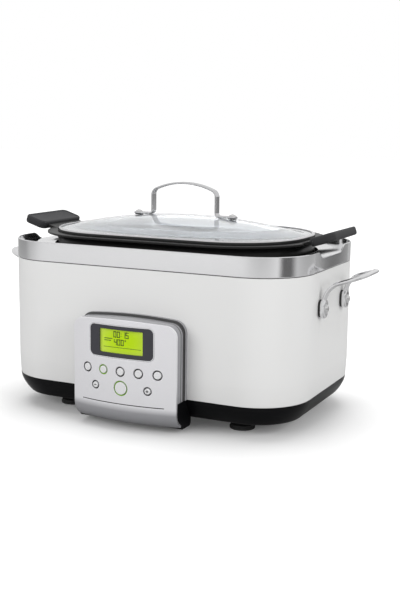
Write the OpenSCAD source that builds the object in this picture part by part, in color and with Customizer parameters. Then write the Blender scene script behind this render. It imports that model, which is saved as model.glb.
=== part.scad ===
// Programmable slow cooker with a lift-out pot and a glass lid.
// The origin is on the table, under the middle of the body; +X is its length, -Y is the front.

/* [Body] */
// Length of the body
body_l = 375; // [350:1:400]
// Depth of the body without the control pod
body_w = 246; // [236:1:262]
// Radius of the upright corners
corner_r = 64; // [50:1:76]
// Height of the shell's lower edge above the table
shell_z = 37.5; // [34:0.5:42]
// Height of the white shell
shell_h = 141; // [130:1:155]
// Sheet thickness of the shell
shell_t = 1.2; // [0.8:0.1:2]

/* [Rim] */
// Height of the steel rim ring
rim_h = 23; // [20:1:30]
// Shadow gap between the shell and the rim
rim_gap = 0.8; // [0.4:0.1:1.5]
// Wall of the rim ring
rim_t = 1.6; // [1.2:0.1:2.4]
// Depth of the deck below the rim's top edge
deck_drop = 8; // [5:0.5:11]
// Flat width of the finger notch at each end
notch_w = 58; // [40:1:66]
// Run of each sloping side of the notch
notch_run = 18; // [8:1:22]

/* [Base] */
// Height of the base tray's underside
base_z = 14.5; // [12:0.5:18]
// Wall of the base tray
base_t = 2.5; // [2:0.1:4]
// How far the skirt draws in at the bottom
skirt_in = 10; // [6:1:14]
// Radius of the moulded feet
foot_r = 16.5; // [12:0.5:20]
// Distance of the feet from the middle, along X
foot_x = 113; // [95:1:118]
// Distance of the feet from the middle, along Y
foot_y = 75; // [64:1:78]
// Thickness of the rubber pads below the feet
pad_h = 3; // [2:0.5:5]

/* [Pot] */
// Space between the body's end and the pot's wall
pot_end_space = 31; // [28:0.5:38]
// Space between the body's front and the pot's wall
pot_side_space = 26.5; // [24:0.5:30]
// Corner radius of the pot's wall
pot_corner = 84; // [74:1:88]
// Height of the pot, flange included
pot_h = 120; // [112:1:124]
// Wall of the pot
pot_t = 2.6; // [2:0.1:4]
// How far the flange reaches past the wall
flange_over = 13; // [11:0.5:15]
// Thickness of the flange
flange_t = 2.4; // [2:0.1:3.5]
// Height of the flange's top above the rim
pot_stand = 7; // [5:0.5:10]
// Gap between the pot and the well
well_gap = 4; // [3:0.5:6]
// Upward slope of the lifting tabs
tab_tilt = 17.5; // [10:0.5:22]
// Thickness of the lifting tabs
tab_t = 4; // [3:0.5:5]
// Width of the silicone grips
grip_w = 88; // [66:1:96]
// Reach of the silicone grips
grip_l = 30; // [26:1:40]
// Thickness of the silicone grips
grip_t = 10; // [8:0.5:12]

/* [Lid] */
// How far the lid stays inside the flange's edge
lid_inset = 12.5; // [10:0.5:14]
// Height of the steel lid rim
lid_rim_h = 4; // [3:0.5:6]
// Thickness of the glass
glass_t = 4; // [3:0.5:5]
// Rise of the dome above the lid rim
dome_h = 17; // [14:1:20]
// Length of the dome at the level of the rim
dome_l = 300; // [286:1:304]
// Depth of the dome at the level of the rim
dome_w = 166; // [156:1:176]
// Width of the lid handle's strap
strap_w = 10; // [8:0.5:16]
// Thickness of the lid handle's strap
strap_t = 2.6; // [2:0.1:4]
// Distance between the lid handle's legs
strap_span = 93; // [76:1:102]
// Height of the lid handle above the top of the dome
strap_h = 38; // [30:1:50]

/* [Side handles] */
// Spacing of the two pads of a side handle
handle_pitch = 76; // [60:1:86]
// Reach of the handle beyond the body
handle_reach = 45.5; // [36:0.5:52]
// Width of the handle's flat bar
bar_w = 9; // [7:0.5:11]
// Thickness of the handle's flat bar
bar_t = 5; // [4:0.5:5.5]
// Height of the screws above the table
handle_z = 138; // [125:1:142]
// Upward slope of the loop
handle_tilt = 18; // [10:1:30]

/* [Control pod] */
// Width of the pod
pod_w = 130; // [124:1:140]
// How far the pod's front stands off the body
pod_d = 32.5; // [30:0.5:38]
// Top of the fascia above the table
pod_top = 126.5; // [124:0.5:134]
// Bottom of the fascia above the table
pod_bottom = 6.5; // [5.5:0.5:9]
// Radius of the bow across the fascia
bow_r = 242; // [200:1:400]
// Wall of the fascia
fascia_t = 3; // [2.4:0.1:4]
// Radius of the rolled lower lip
roll_r = 14; // [9:0.5:16]
// Travel of the buttons
button_travel = 0.8; // [0.4:0.1:1]
// Gap round each button cap
button_gap = 1.3; // [1:0.05:1.6]

/* [Hidden] */
$fn = 96;
// Smallest overlap used to cut cleanly through a face
cut = 1;
// Clearance of a part that slides or lifts away
lift_gap = 0.3;
// Clearance between fixed parts with curved faces
seat_gap = 0.1;

// Heights, from the table up
rim_z = shell_z + shell_h + rim_gap;
rim_top = shell_z + shell_h + rim_h;
deck_z = rim_top - deck_drop;
deck_t = 1.6;
flange_z = rim_top + pot_stand;
pot_z = flange_z - pot_h;
heater_top = pot_z - lift_gap;
heater_t = 9;
liner_t = 0.8;
liner_z = heater_top - heater_t - liner_t;
liner_top = deck_z - deck_t;
base_floor = base_z + base_t;

// Outlines
pot_l = body_l - 2 * pot_end_space;
pot_w = body_w - 2 * pot_side_space;
pot_r = min(pot_corner, pot_w / 2 - 5);
well_l = pot_l + 2 * well_gap;
well_w = pot_w + 2 * well_gap;
well_r = pot_r + well_gap;
flange_l = pot_l + 2 * flange_over;
flange_w = pot_w + 2 * flange_over;
flange_r = pot_r + flange_over;
lid_l = flange_l - 2 * lid_inset;
lid_w = flange_w - 2 * lid_inset;
lid_r = flange_r - lid_inset;

// Heater, element and sensor in the well's floor
heater_l = pot_l - 82;
heater_w = pot_w - 53;
heater_r = heater_w / 2 - 5;
element_r = 3.5;
element_bend = heater_w / 2 - 25;
element_run = heater_l / 2 - 70;
element_leg = 12;
element_z = liner_z + liner_t + heater_t / 2;
element_end = liner_z - 14;
bush_r = 6;
stud_r = 2.5;
stud_space = [6, 11];
stud_clear = element_r + stud_r;
stud_y = element_bend - stud_clear - stud_space[1];
stud_places = [[stud_space[0] + stud_clear - element_run - element_bend, 0], [55, stud_y], [55, -stud_y]];
sensor_r = 11;
sensor_fit = 0.1;
sensor_h = 10;
sensor_stem = 3;
stem_below = 6;
bracket_drop = 12;
bracket_t = 1.5;
bracket_z = liner_z - bracket_drop;
bracket_w = 20;
bracket_half = 28;
spring_r = 5;
spring_wire = 0.5;
spring_turns = 6;
spring_steps = 14;

// Fastening of the base to the well
tie_x = pot_l / 2 - 46;
tie_y = pot_w / 2 - 34.5;
tie_r = 2;
column_r = 4.5;
screw_gap = 0.3;
thread_fit = 0.02;
head_h = 3;

// Power board in the base
board_t = 1.6;
board_z = base_floor + 10;
board_l = 120;
board_w = 60;
board_y = -body_w / 2 + 57;
board_x = board_l / 2 - 6;
board_hole_y = board_w / 2 - 5;
board_screw_l = 7;
block_x = -16;
block_y = -10;
block_size = [26, 11, 11];

// Leads and the flat cable
lead_r = 1.4;
mains_r = 3;
ribbon_w = 20;
ribbon_t = 0.8;
ribbon_z = 56;
ribbon_drop = 11;
ribbon_slot = [50, 24];

// Side handle
handle_x = body_l / 2;
spacer_t = 2.5;
pad_t = 5.5;
pad_w = 15;
pad_l = 22;
handle_screw_r = 2.5;
nut_h = 4;
rise_r = 25;
loop_bend = 21;
bar_x = handle_x + spacer_t + pad_t / 2;

// Control pod
front_y = -body_w / 2;
pod_front = front_y - pod_d;
bow_y = pod_front + bow_r;
pod_base_z = 5.5;
pod_base_back = front_y + 13;
pod_corner = 13;
crown_arm = 610;
pod_low_corner = 9;
surround_t = 2.6;
collar_over = 2.5;
collar_t = 4;
board_set = 14.5;
board_front = pod_front + board_set;
control_t = 1.6;
control_l = pod_w - 14;
control_low = pod_bottom + 21.5;
control_top = pod_top - 8.5;
boss_r = 3.2;
boss_x = control_l / 2 - 8;
boss_z = [pod_bottom + 27.5, pod_top - 13.5];
pod_screw_x = pod_w / 2 - 9;
pod_screw_z = [shell_z + 12.5, pod_top - 22.5];
pod_screw_r = 1.5;
pod_boss = 10;

// Display
window_w = 79;
window_top = pod_top - 7.2;
window_low = window_top - 35;
window_r = 5.5;
window_t = 2;
trim_t = 1.3;
module_w = 64;
module_low = window_low + 1.7;
module_top = window_top - 1.3;

// Buttons: name, place across, place up, width of the hole
ROW_Z = pod_top - 57.7;
LOW_Z = ROW_Z - 18.8;
ROW_PITCH = 22.15;
BUTTONS = [
    ["button_1", -2 * ROW_PITCH, ROW_Z, 11.6],
    ["button_2", -ROW_PITCH, ROW_Z, 11.6],
    ["button_3", 0, ROW_Z, 11.6],
    ["button_4", ROW_PITCH, ROW_Z, 11.6],
    ["button_5", 2 * ROW_PITCH, ROW_Z, 11.6],
    ["button_minus", -33, LOW_Z, 10],
    ["button_start", 0.4, LOW_Z, 17.4],
    ["button_plus", 33, LOW_Z, 10]
];
LIT = [1, 6];
DARK = [0, 2, 3, 4, 5, 7];
button_proud = 0.4;
button_stem = 2.6;
stem_gap = 0.4;
ring_fit = 0.05;
ring_sink = 1.4;
ring_h = 4;
switch_h = 2.5;
switch_nub = 1;

// Cord gland at the back
gland_x = 80;
gland_z = 56;
gland_bore = 4;
gland_r = 7;
gland_in = 12;
gland_out = pod_d + button_proud;
gland_flange = 2.5;

// Lid
glass_gap = 0.2;
lid_z = flange_z + lift_gap;
lid_top = lid_z + lid_rim_h;
dome_rx = (dome_l * dome_l / 4 + dome_h * dome_h) / (2 * dome_h);
dome_ry = (dome_w * dome_w / 4 + dome_h * dome_h) / (2 * dome_h);
dome_top = lid_top + dome_h;
lip_w = 4;
foot_l = 22.5;
bolt_x = strap_span / 2 + foot_l - 6;
bolt_r = 2;
washer_r = 5;
washer_t = 1;
washer_z = dome_top - (bolt_x - washer_r) * (bolt_x - washer_r) / (2 * dome_rx) + 0.05;

// Centre line of the lid handle's strap: an arch, two shoulders, two ankles and the feet
strap_top = dome_top + strap_h;
strap_foot = washer_z + washer_t + strap_t / 2;
arch_r = 95;
shoulder_r = 8;
ankle_r = 4;
arch_a = asin((strap_span / 2 - shoulder_r) / (arch_r - shoulder_r));
shoulder_z = strap_top - arch_r + (arch_r - shoulder_r) * cos(arch_a);

// Lifting tabs: where the grip starts along the tab, and how far the tab stays inside it
tab_start = 21;
tab_drop = 4.6;
tab_w = grip_w - 18;
tab_inset = 5;

// Colours
steel = [0.78, 0.78, 0.79];
dark_plastic = [0.06, 0.06, 0.07];

// ---- Shared shapes ----

// Rectangle with round corners, centred
module rounded_rect(l, w, r) {
    square([l - 2 * r, w], center = true);
    square([l, w - 2 * r], center = true);
    for (x = [-1, 1], y = [-1, 1])
        translate([x * (l / 2 - r), y * (w / 2 - r)]) circle(r);
}

// Upright block on that outline, from z0 to z1
module slab(l, w, r, z0, z1) {
    translate([0, 0, z0]) linear_extrude(z1 - z0) rounded_rect(l, w, r);
}

// Upright ring: the outline outside, and the same drawn in by t inside
module band(l, w, r, t, z0, z1) {
    difference() {
        slab(l, w, r, z0, z1);
        slab(l - 2 * t, w - 2 * t, r - t, z0 - cut, z1 + cut);
    }
}

// Body outline, drawn in by an inset
module body_slab(inset, z0, z1) {
    slab(body_l - 2 * inset, body_w - 2 * inset, corner_r - inset, z0, z1);
}

// Extrudes an X-Z outline from y0 to y1
module along_y(y0, y1) {
    translate([0, y1, 0]) rotate([90, 0, 0]) linear_extrude(y1 - y0) children();
}

// Extrudes a Y-Z outline from x0 to x1
module along_x(x0, x1) {
    translate([x0, 0, 0]) rotate([90, 0, 90]) linear_extrude(x1 - x0) children();
}

// Round lead between two points
module lead(a, b, r) {
    hull() {
        translate(a) sphere(r, $fn = 16);
        translate(b) sphere(r, $fn = 16);
    }
}

// Domed screw head standing on z 0
module domed_head(r, h) {
    rise = 0.7 * h;
    ball = (r * r + rise * rise) / (2 * rise);
    intersection() {
        cylinder(r = r, h = h);
        translate([0, 0, h - ball]) sphere(ball);
    }
}

// Upright outline in X-Z with round corners
module panel_outline(w, low, top, r_low, r_top) {
    translate([-w / 2, low + r_low]) square([w, top - low - r_low - r_top]);
    translate([-w / 2 + r_top, top - 2 * r_top]) square([w - 2 * r_top, 2 * r_top]);
    translate([-w / 2 + r_low, low]) square([w - 2 * r_low, 2 * r_low]);
    for (s = [-1, 1]) {
        translate([s * (w / 2 - r_top), top - r_top]) circle(r_top);
        translate([s * (w / 2 - r_low), low + r_low]) circle(r_low);
    }
}

// The pod's outline: its top edge is a shallow arc between the round corners
module pod_outline(w, low, top, r_low, r_top) {
    side = w / 2 - r_top;
    arm_z = sqrt(crown_arm * crown_arm - side * side);
    corner_top = top - crown_arm + arm_z;
    crown_r = crown_arm + r_top;
    crown_x = side * crown_r / crown_arm;
    panel_outline(w, low, corner_top, r_low, r_top);
    intersection() {
        translate([0, top - crown_r]) circle(crown_r, $fn = 720);
        translate([-crown_x, corner_top - r_top]) square([2 * crown_x, r_top + crown_x]);
    }
}

// Solid behind the bowed front, set back by an inset, with a rolled lower edge
module bowed_solid(inset, low, top, roll) {
    r = bow_r - inset;
    translate([0, bow_y, 0]) rotate_extrude($fn = 360) {
        translate([0, low + roll]) square([r, top - low - roll]);
        translate([0, low]) square([r - roll, roll + cut]);
        translate([r - roll, low + roll]) intersection() {
            circle(roll);
            translate([-cut, -roll]) square([roll + cut, roll + cut]);
        }
    }
}

// Place of the bowed front at a distance across the pod
function bow_at(x) = bow_y - sqrt(bow_r * bow_r - x * x);

// Four mirrored copies about the middle
module four(x, y) {
    for (sx = [-1, 1], sy = [-1, 1]) translate([sx * x, sy * y, 0]) children();
}

// ---- Body ----

// Places of the side-handle screws on one end
module handle_places() {
    for (sx = [-1, 1], sy = [-1, 1])
        translate([sx * handle_x, sy * handle_pitch / 2, handle_z]) rotate([0, sx * 90, 0]) children();
}

// Painted steel wrapper with its holes
module outer_shell() {
    color([0.93, 0.93, 0.92])
    difference() {
        body_slab(0, shell_z, shell_z + shell_h);
        body_slab(shell_t, shell_z - cut, shell_z + shell_h + cut);
        handle_places() cylinder(r = handle_screw_r + screw_gap, h = 3 * shell_t, center = true);
        translate([gland_x, body_w / 2, gland_z]) rotate([90, 0, 0])
            cylinder(r = gland_r + seat_gap, h = 4 * shell_t, center = true);
        translate([0, front_y, ribbon_z]) cube([ribbon_slot[0], 4 * shell_t, ribbon_slot[1]], center = true);
        pod_screw_places(front_y - cut) cylinder(r = pod_screw_r + screw_gap, h = 4);
    }
}

// Finger notch through both ends of the rim, seen along X
module notch_outline() {
    polygon([
        [-notch_w / 2, deck_z], [notch_w / 2, deck_z],
        [notch_w / 2 + notch_run, rim_top], [notch_w / 2 + notch_run, rim_top + cut],
        [-notch_w / 2 - notch_run, rim_top + cut], [-notch_w / 2 - notch_run, rim_top]
    ]);
}

// Polished ring with the recessed deck and the lip that sits in the shell
module rim_band() {
    color(steel)
    difference() {
        union() {
            band(body_l, body_w, corner_r, rim_t, rim_z, rim_top);
            body_slab(rim_t / 2, deck_z - deck_t, deck_z);
            band(body_l - 2 * shell_t - 2 * seat_gap, body_w - 2 * shell_t - 2 * seat_gap,
                corner_r - shell_t - seat_gap, rim_t, rim_z - 6, rim_z + 2);
        }
        slab(well_l, well_w, well_r, deck_z - deck_t - cut, deck_z + cut);
        along_x(-body_l / 2 - cut, body_l / 2 + cut) notch_outline();
    }
}

// Aluminised steel well that the pot hangs in
module well_liner() {
    color([0.6, 0.6, 0.6])
    difference() {
        union() {
            slab(well_l + 2 * liner_t, well_w + 2 * liner_t, well_r + liner_t, liner_z, liner_top);
            slab(well_l + 2 * liner_t + 8, well_w + 2 * liner_t + 8, well_r + liner_t + 4,
                liner_top - liner_t, liner_top);
        }
        slab(well_l, well_w, well_r, liner_z + liner_t, liner_top + cut);
        translate([0, 0, liner_z - cut]) {
            cylinder(r = sensor_r + 3, h = liner_t + 2 * cut);
            four(tie_x, tie_y) cylinder(r = tie_r + screw_gap, h = liner_t + 2 * cut);
            for (s = [-1, 1]) translate([s * element_leg, -element_bend, 0])
                cylinder(r = bush_r + seat_gap, h = liner_t + 2 * cut);
            for (p = stud_places) translate([p[0], p[1], 0])
                cylinder(r = stud_r + screw_gap, h = liner_t + 2 * cut);
        }
    }
}

// Glass-fibre blanket round the well
module insulation_wrap() {
    inset = 0.3;
    wrap_t = 5;
    out = liner_t + inset + wrap_t;
    color([0.9, 0.86, 0.7])
    band(well_l + 2 * out, well_w + 2 * out, well_r + out, wrap_t, liner_z + 12, liner_top - 8);
}

// ---- Base ----

// Tapered skirt of the base: a rounded bowl shape, grown inward by an inset
module skirt_solid(inset, low) {
    hull() {
        body_slab(skirt_in + 4 + inset, low, low + 1);
        body_slab(skirt_in + inset, low + 3, low + 4);
        body_slab(skirt_in * 0.45 + inset, low + 12, low + 13);
        body_slab(1 + inset, shell_z - 1, shell_z);
    }
}

// Black moulded tray with columns, board bosses, feet and vents
module base_tray() {
    vents = 7;
    vent_pitch = 9;
    vent_size = [60, 3.5];
    vent_x = 52;
    vent_y = 30;
    lip_in = shell_t + seat_gap;
    color(dark_plastic)
    difference() {
        union() {
            difference() {
                skirt_solid(0, base_z);
                skirt_solid(base_t, base_floor);
                translate([0, 0, shell_z - 1]) linear_extrude(2)
                    rounded_rect(body_l - 2 - 2 * base_t, body_w - 2 - 2 * base_t, corner_r - 1 - base_t);
            }
            band(body_l - 2 * lip_in, body_w - 2 * lip_in, corner_r - lip_in, 2, shell_z - 1, shell_z + 6);
            four(foot_x, foot_y) translate([0, 0, pad_h]) cylinder(r = foot_r, h = base_floor - pad_h);
            four(tie_x, tie_y) translate([0, 0, base_floor - cut])
                cylinder(r = column_r, h = liner_z - base_floor + cut);
            board_places(base_floor - cut) cylinder(r = 3.5, h = board_z - base_floor + cut);
        }
        four(foot_x, foot_y) translate([0, 0, pad_h - cut]) cylinder(r = foot_r - 3, h = cut + 2);
        four(tie_x, tie_y) translate([0, 0, base_z - cut]) {
            cylinder(r = tie_r + screw_gap, h = liner_z);
            cylinder(r = 2 * tie_r + screw_gap, h = cut + head_h);
        }
        board_places(base_floor + 2) cylinder(r = 1.3, h = board_z);
        for (sx = [-1, 1], i = [0 : vents - 1])
            translate([sx * vent_x, vent_y + (i - (vents - 1) / 2) * vent_pitch, base_z])
                cube([vent_size[0], vent_size[1], 6 * base_t], center = true);
    }
}

// Rubber pads pressed into the feet
module rubber_feet() {
    color([0.12, 0.12, 0.12])
    four(foot_x, foot_y) {
        cylinder(r = foot_r - 2, h = pad_h);
        cylinder(r = foot_r - 3 - seat_gap, h = pad_h + 2);
    }
}

// Long screws that clamp the base, shell and rim together
module tie_screws() {
    color("silver")
    four(tie_x, tie_y) {
        translate([0, 0, base_z + 0.2]) cylinder(r = 2 * tie_r, h = head_h - 0.2);
        translate([0, 0, base_z + 1]) cylinder(r = tie_r, h = liner_z + liner_t + 3.6 - base_z - 1);
    }
}

// Nuts of the long screws, inside the well
module tie_nuts() {
    color("silver")
    four(tie_x, tie_y) translate([0, 0, liner_z + liner_t]) difference() {
        cylinder(r = 4, h = 3.2, $fn = 6);
        translate([0, 0, -cut]) cylinder(r = tie_r + thread_fit, h = 6);
    }
}

// ---- Heater and sensor ----

// Path of the element: a racetrack with two legs that turn down
module element_path(r) {
    translate([0, 0, element_z]) {
        for (s = [-1, 1]) translate([s * element_run, 0, 0]) rotate([0, 0, -90 * s])
            rotate_extrude(angle = 180) translate([element_bend, 0]) circle(r, $fn = 24);
        translate([-element_run, element_bend, 0]) rotate([0, 90, 0]) cylinder(r = r, h = 2 * element_run);
        for (s = [-1, 1])
            translate([s > 0 ? element_leg : -element_run, -element_bend, 0]) rotate([0, 90, 0])
                cylinder(r = r, h = element_run - element_leg);
    }
    for (s = [-1, 1]) {
        translate([s * element_leg, -element_bend, element_z]) sphere(r);
        translate([s * element_leg, -element_bend, element_end]) cylinder(r = r, h = element_z - element_end);
    }
}

// Cast heater plate with the element's groove and the sensor's hole
module heater_plate() {
    color([0.65, 0.65, 0.67])
    difference() {
        slab(heater_l, heater_w, heater_r, liner_z + liner_t, heater_top);
        translate([0, 0, liner_z]) cylinder(r = sensor_r + sensor_fit, h = 2 * heater_t);
        element_path(element_r + 0.05);
        for (p = stud_places) translate([p[0], p[1], liner_z])
            cylinder(r = stud_r + thread_fit, h = liner_t + heater_t - 4);
    }
}

// Tubular heating element
module heating_element() {
    color([0.35, 0.33, 0.32]) element_path(element_r);
}

// Ceramic bushes where the element's legs pass through the well's floor
module element_bushes() {
    color([0.95, 0.93, 0.88])
    for (s = [-1, 1]) translate([s * element_leg, -element_bend, liner_z - 5]) difference() {
        union() {
            cylinder(r = bush_r, h = 5 + liner_t);
            cylinder(r = bush_r + 2, h = 5);
        }
        translate([0, 0, -cut]) cylinder(r = element_r + 0.05, h = 10);
    }
}

// Studs and nuts that hold the heater plate down
module heater_studs() {
    color("silver")
    for (p = stud_places) translate([p[0], p[1], 0]) {
        translate([0, 0, liner_z - 8]) cylinder(r = stud_r, h = 8 + liner_t + heater_t - 4.5);
        translate([0, 0, liner_z - 4]) cylinder(r = 4.6, h = 4, $fn = 6);
    }
}

// Spring-loaded cup that presses on the pot's underside
module sensor_cap() {
    color([0.8, 0.8, 0.82])
    translate([0, 0, heater_top]) {
        difference() {
            translate([0, 0, -sensor_h]) cylinder(r = sensor_r, h = sensor_h);
            translate([0, 0, -sensor_h - cut]) cylinder(r = sensor_r - 1, h = sensor_h);
        }
        translate([0, 0, bracket_z - heater_top - stem_below])
            cylinder(r = sensor_stem, h = heater_top - bracket_z + stem_below - 0.5);
    }
}

// Compression spring: rings of points along a helix, and the tube round them
module sensor_spring() {
    low = bracket_z + bracket_t + spring_wire + 0.1;
    high = heater_top - 1 - spring_wire - 0.1;
    steps = spring_turns * spring_steps;
    sides = 8;
    points = [
        for (i = [0 : steps], j = [0 : sides - 1])
            let (a = 360 * i / spring_steps, b = 360 * j / sides, r = spring_r + spring_wire * cos(b))
                [r * cos(a), r * sin(a), low + (high - low) * i / steps + spring_wire * sin(b)]
    ];
    sides_of = [
        for (i = [0 : steps - 1], j = [0 : sides - 1])
            let (k = (j + 1) % sides)
                [i * sides + j, i * sides + k, (i + 1) * sides + k, (i + 1) * sides + j]
    ];
    first = [for (j = [sides - 1 : -1 : 0]) j];
    last = [for (j = [0 : sides - 1]) steps * sides + j];
    color("silver") polyhedron(points, concat([first], sides_of, [last]));
}

// Bridge below the well that guides the sensor's stem
module sensor_bracket() {
    half = bracket_half;
    side = -bracket_w / 2;
    ear = 9;
    color([0.7, 0.7, 0.72])
    difference() {
        union() {
            translate([-half, side, bracket_z]) cube([2 * half, bracket_w, bracket_t]);
            for (s = [-1, 1]) {
                translate([s * half - bracket_t / 2, side, bracket_z])
                    cube([bracket_t, bracket_w, bracket_drop]);
                translate([s > 0 ? half : -half - ear, side, liner_z - bracket_t])
                    cube([ear, bracket_w, bracket_t]);
            }
        }
        translate([0, 0, bracket_z - cut]) cylinder(r = sensor_stem + sensor_fit, h = bracket_t + 2 * cut);
    }
}

// Thermal fuse in its clip below the well's floor
module thermal_fuse() {
    color([0.85, 0.8, 0.7])
    translate([0, 30, liner_z]) {
        translate([-12, 0, -3]) rotate([0, 90, 0]) cylinder(r = 2, h = 24);
        translate([-5, -6, -6]) cube([10, 12, 6]);
    }
}

// ---- Electronics in the base ----

// Corner places of the power board's screws, at a height
module board_places(z) {
    for (x = [-1, 1], y = [-1, 1])
        translate([x * board_x, board_y + y * board_hole_y, z]) children();
}

// Power board
module power_board() {
    color([0.1, 0.4, 0.2])
    difference() {
        translate([-board_l / 2, board_y - board_w / 2, board_z]) cube([board_l, board_w, board_t]);
        board_places(board_z - cut) cylinder(r = 1.7, h = board_t + 2 * cut);
    }
}

// Heater relay
module relay() {
    color([0.1, 0.2, 0.6]) translate([-44, board_y - 8, board_z + board_t]) cube([19, 15.5, 15.5]);
}

// Supply transformer: core with its bobbin
module transformer() {
    color([0.5, 0.35, 0.2])
    translate([26, board_y, board_z + board_t]) {
        translate([-13, -12, 0]) cube([26, 24, 5]);
        translate([-9, -9, 5]) cube([18, 18, 11]);
        translate([-13, -12, 16]) cube([26, 24, 4]);
    }
}

// Smoothing capacitors
module capacitors() {
    color([0.15, 0.15, 0.3])
    for (i = [0 : 2])
        translate([-14 + 11 * i, board_y + 17, board_z + board_t]) cylinder(r = 4.5, h = 13);
}

// Terminal block for the mains and element leads
module terminal_block() {
    color([0.2, 0.5, 0.3])
    translate([block_x, board_y + block_y, board_z + board_t]) cube(block_size);
}

// Screws of the power board
module board_screws() {
    color("silver")
    board_places(board_z + board_t) {
        cylinder(r = 2.8, h = 1.8);
        translate([0, 0, -board_screw_l]) cylinder(r = 1.25, h = board_screw_l + 1);
    }
}

// Leads from the terminal block to the element's legs
module element_leads() {
    block_top = board_z + board_t + block_size[2];
    color([0.9, 0.9, 0.85])
    for (s = [-1, 1])
        lead([block_x + block_size[0] / 2 + s * 9, board_y + block_y + block_size[1] / 2, block_top + lead_r],
            [s * element_leg, -element_bend, element_end - lead_r], lead_r);
}

// Leads from the gland to the power board
module mains_leads() {
    h = board_z + board_t + mains_r;
    bend_y = 20;
    color([0.15, 0.15, 0.16]) {
        lead([gland_x, body_w / 2 - gland_in - mains_r, gland_z], [gland_x, bend_y, gland_z], mains_r);
        lead([gland_x, bend_y, gland_z], [gland_x, bend_y, h + 4], mains_r);
        lead([gland_x, bend_y, h + 4], [44, board_y + 20, h], mains_r);
    }
}

// Strain-relief bush where the cord leaves the back
module cord_gland() {
    color(dark_plastic)
    translate([gland_x, body_w / 2, gland_z]) rotate([-90, 0, 0]) difference() {
        union() {
            translate([0, 0, -gland_in]) cylinder(r = gland_r, h = gland_in);
            cylinder(r = gland_r + gland_flange, h = gland_flange);
            translate([0, 0, gland_flange])
                cylinder(r1 = gland_r + 0.5, r2 = gland_bore + 1.6, h = gland_out - gland_flange);
            translate([0, 0, -shell_t - 5]) cylinder(r = gland_r + gland_flange, h = 5, $fn = 6);
        }
        translate([0, 0, -gland_in - cut]) cylinder(r = gland_bore, h = gland_in + gland_out + 2 * cut);
    }
}

// ---- Side handles ----

// Oval section of the flat bar, wide across X
module bar_section() {
    sides = 24;
    polygon([for (i = [0 : sides - 1]) let (a = 360 * i / sides) [bar_w / 2 * cos(a), bar_t / 2 * sin(a)]]);
}

// One handle on the +X end: two bosses, two rising arms and a loop of flat bar
module side_handle() {
    y0 = handle_pitch / 2;
    arm_low = pad_l / 2 - 5;
    rise = 90 - handle_tilt;
    reach = (handle_x + handle_reach - bar_x - rise_r * (1 - cos(rise))) / cos(handle_tilt) - loop_bend;
    translate([0, 0, handle_z]) {
        for (s = [-1, 1]) difference() {
            translate([handle_x + spacer_t, s * y0, 0]) rotate([90, 0, 90])
                linear_extrude(pad_t) rounded_rect(pad_w, pad_l, pad_w / 2 - 0.01);
            translate([handle_x, s * y0, 0]) rotate([0, 90, 0])
                cylinder(r = handle_screw_r + screw_gap, h = 30);
        }
        for (s = [-1, 1])
            translate([bar_x + rise_r, s * y0, arm_low]) rotate([90, 0, 0]) rotate([0, 0, 180 - rise])
                rotate_extrude(angle = rise) translate([rise_r, 0]) rotate([0, 0, 90]) bar_section();
        translate([bar_x + rise_r, 0, arm_low]) rotate([0, -handle_tilt, 0]) translate([0, 0, rise_r]) {
            for (s = [-1, 1]) {
                translate([0, s * y0, 0]) rotate([90, 0, 90]) linear_extrude(reach) bar_section();
                translate([reach, s * (y0 - loop_bend), 0]) rotate([0, 0, s > 0 ? 0 : -90])
                    rotate_extrude(angle = 90) translate([loop_bend, 0]) bar_section();
            }
            translate([reach + loop_bend, 0, 0]) along_y(loop_bend - y0, y0 - loop_bend) bar_section();
        }
    }
}

module side_handle_right() {
    color(steel) side_handle();
}

module side_handle_left() {
    color(steel) mirror([1, 0, 0]) side_handle();
}

// Dark spacers between the pads and the shell
module handle_spacers() {
    color(dark_plastic)
    handle_places() difference() {
        linear_extrude(spacer_t) rounded_rect(pad_l - 2, pad_w - 2, pad_w / 2 - 1.01);
        translate([0, 0, -cut]) cylinder(r = handle_screw_r + screw_gap, h = spacer_t + 2 * cut);
    }
}

// Screws through the pads, spacers and shell
module handle_screws() {
    color("silver")
    handle_places() {
        translate([0, 0, -shell_t - nut_h - 1])
            cylinder(r = handle_screw_r, h = shell_t + nut_h + spacer_t + pad_t + 2);
        translate([0, 0, spacer_t + pad_t]) domed_head(2 * handle_screw_r, 2.4);
    }
}

// Nuts inside the shell
module handle_nuts() {
    color("silver")
    handle_places() translate([0, 0, -shell_t - nut_h]) difference() {
        cylinder(r = 4.6, h = nut_h, $fn = 6);
        translate([0, 0, -cut]) cylinder(r = handle_screw_r + thread_fit, h = nut_h + 2 * cut);
    }
}

// ---- Control pod ----

// Places of the screws that hold the surround to the shell, pointing inward from y
module pod_screw_places(y) {
    for (x = [-pod_screw_x, pod_screw_x], z = pod_screw_z)
        translate([x, y, z]) rotate([-90, 0, 0]) children();
}

// Places of the screws that hold the control board, pointing inward from y
module board_boss_places(y) {
    for (x = [-boss_x, boss_x], z = boss_z) translate([x, y, z]) rotate([-90, 0, 0]) children();
}

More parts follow.
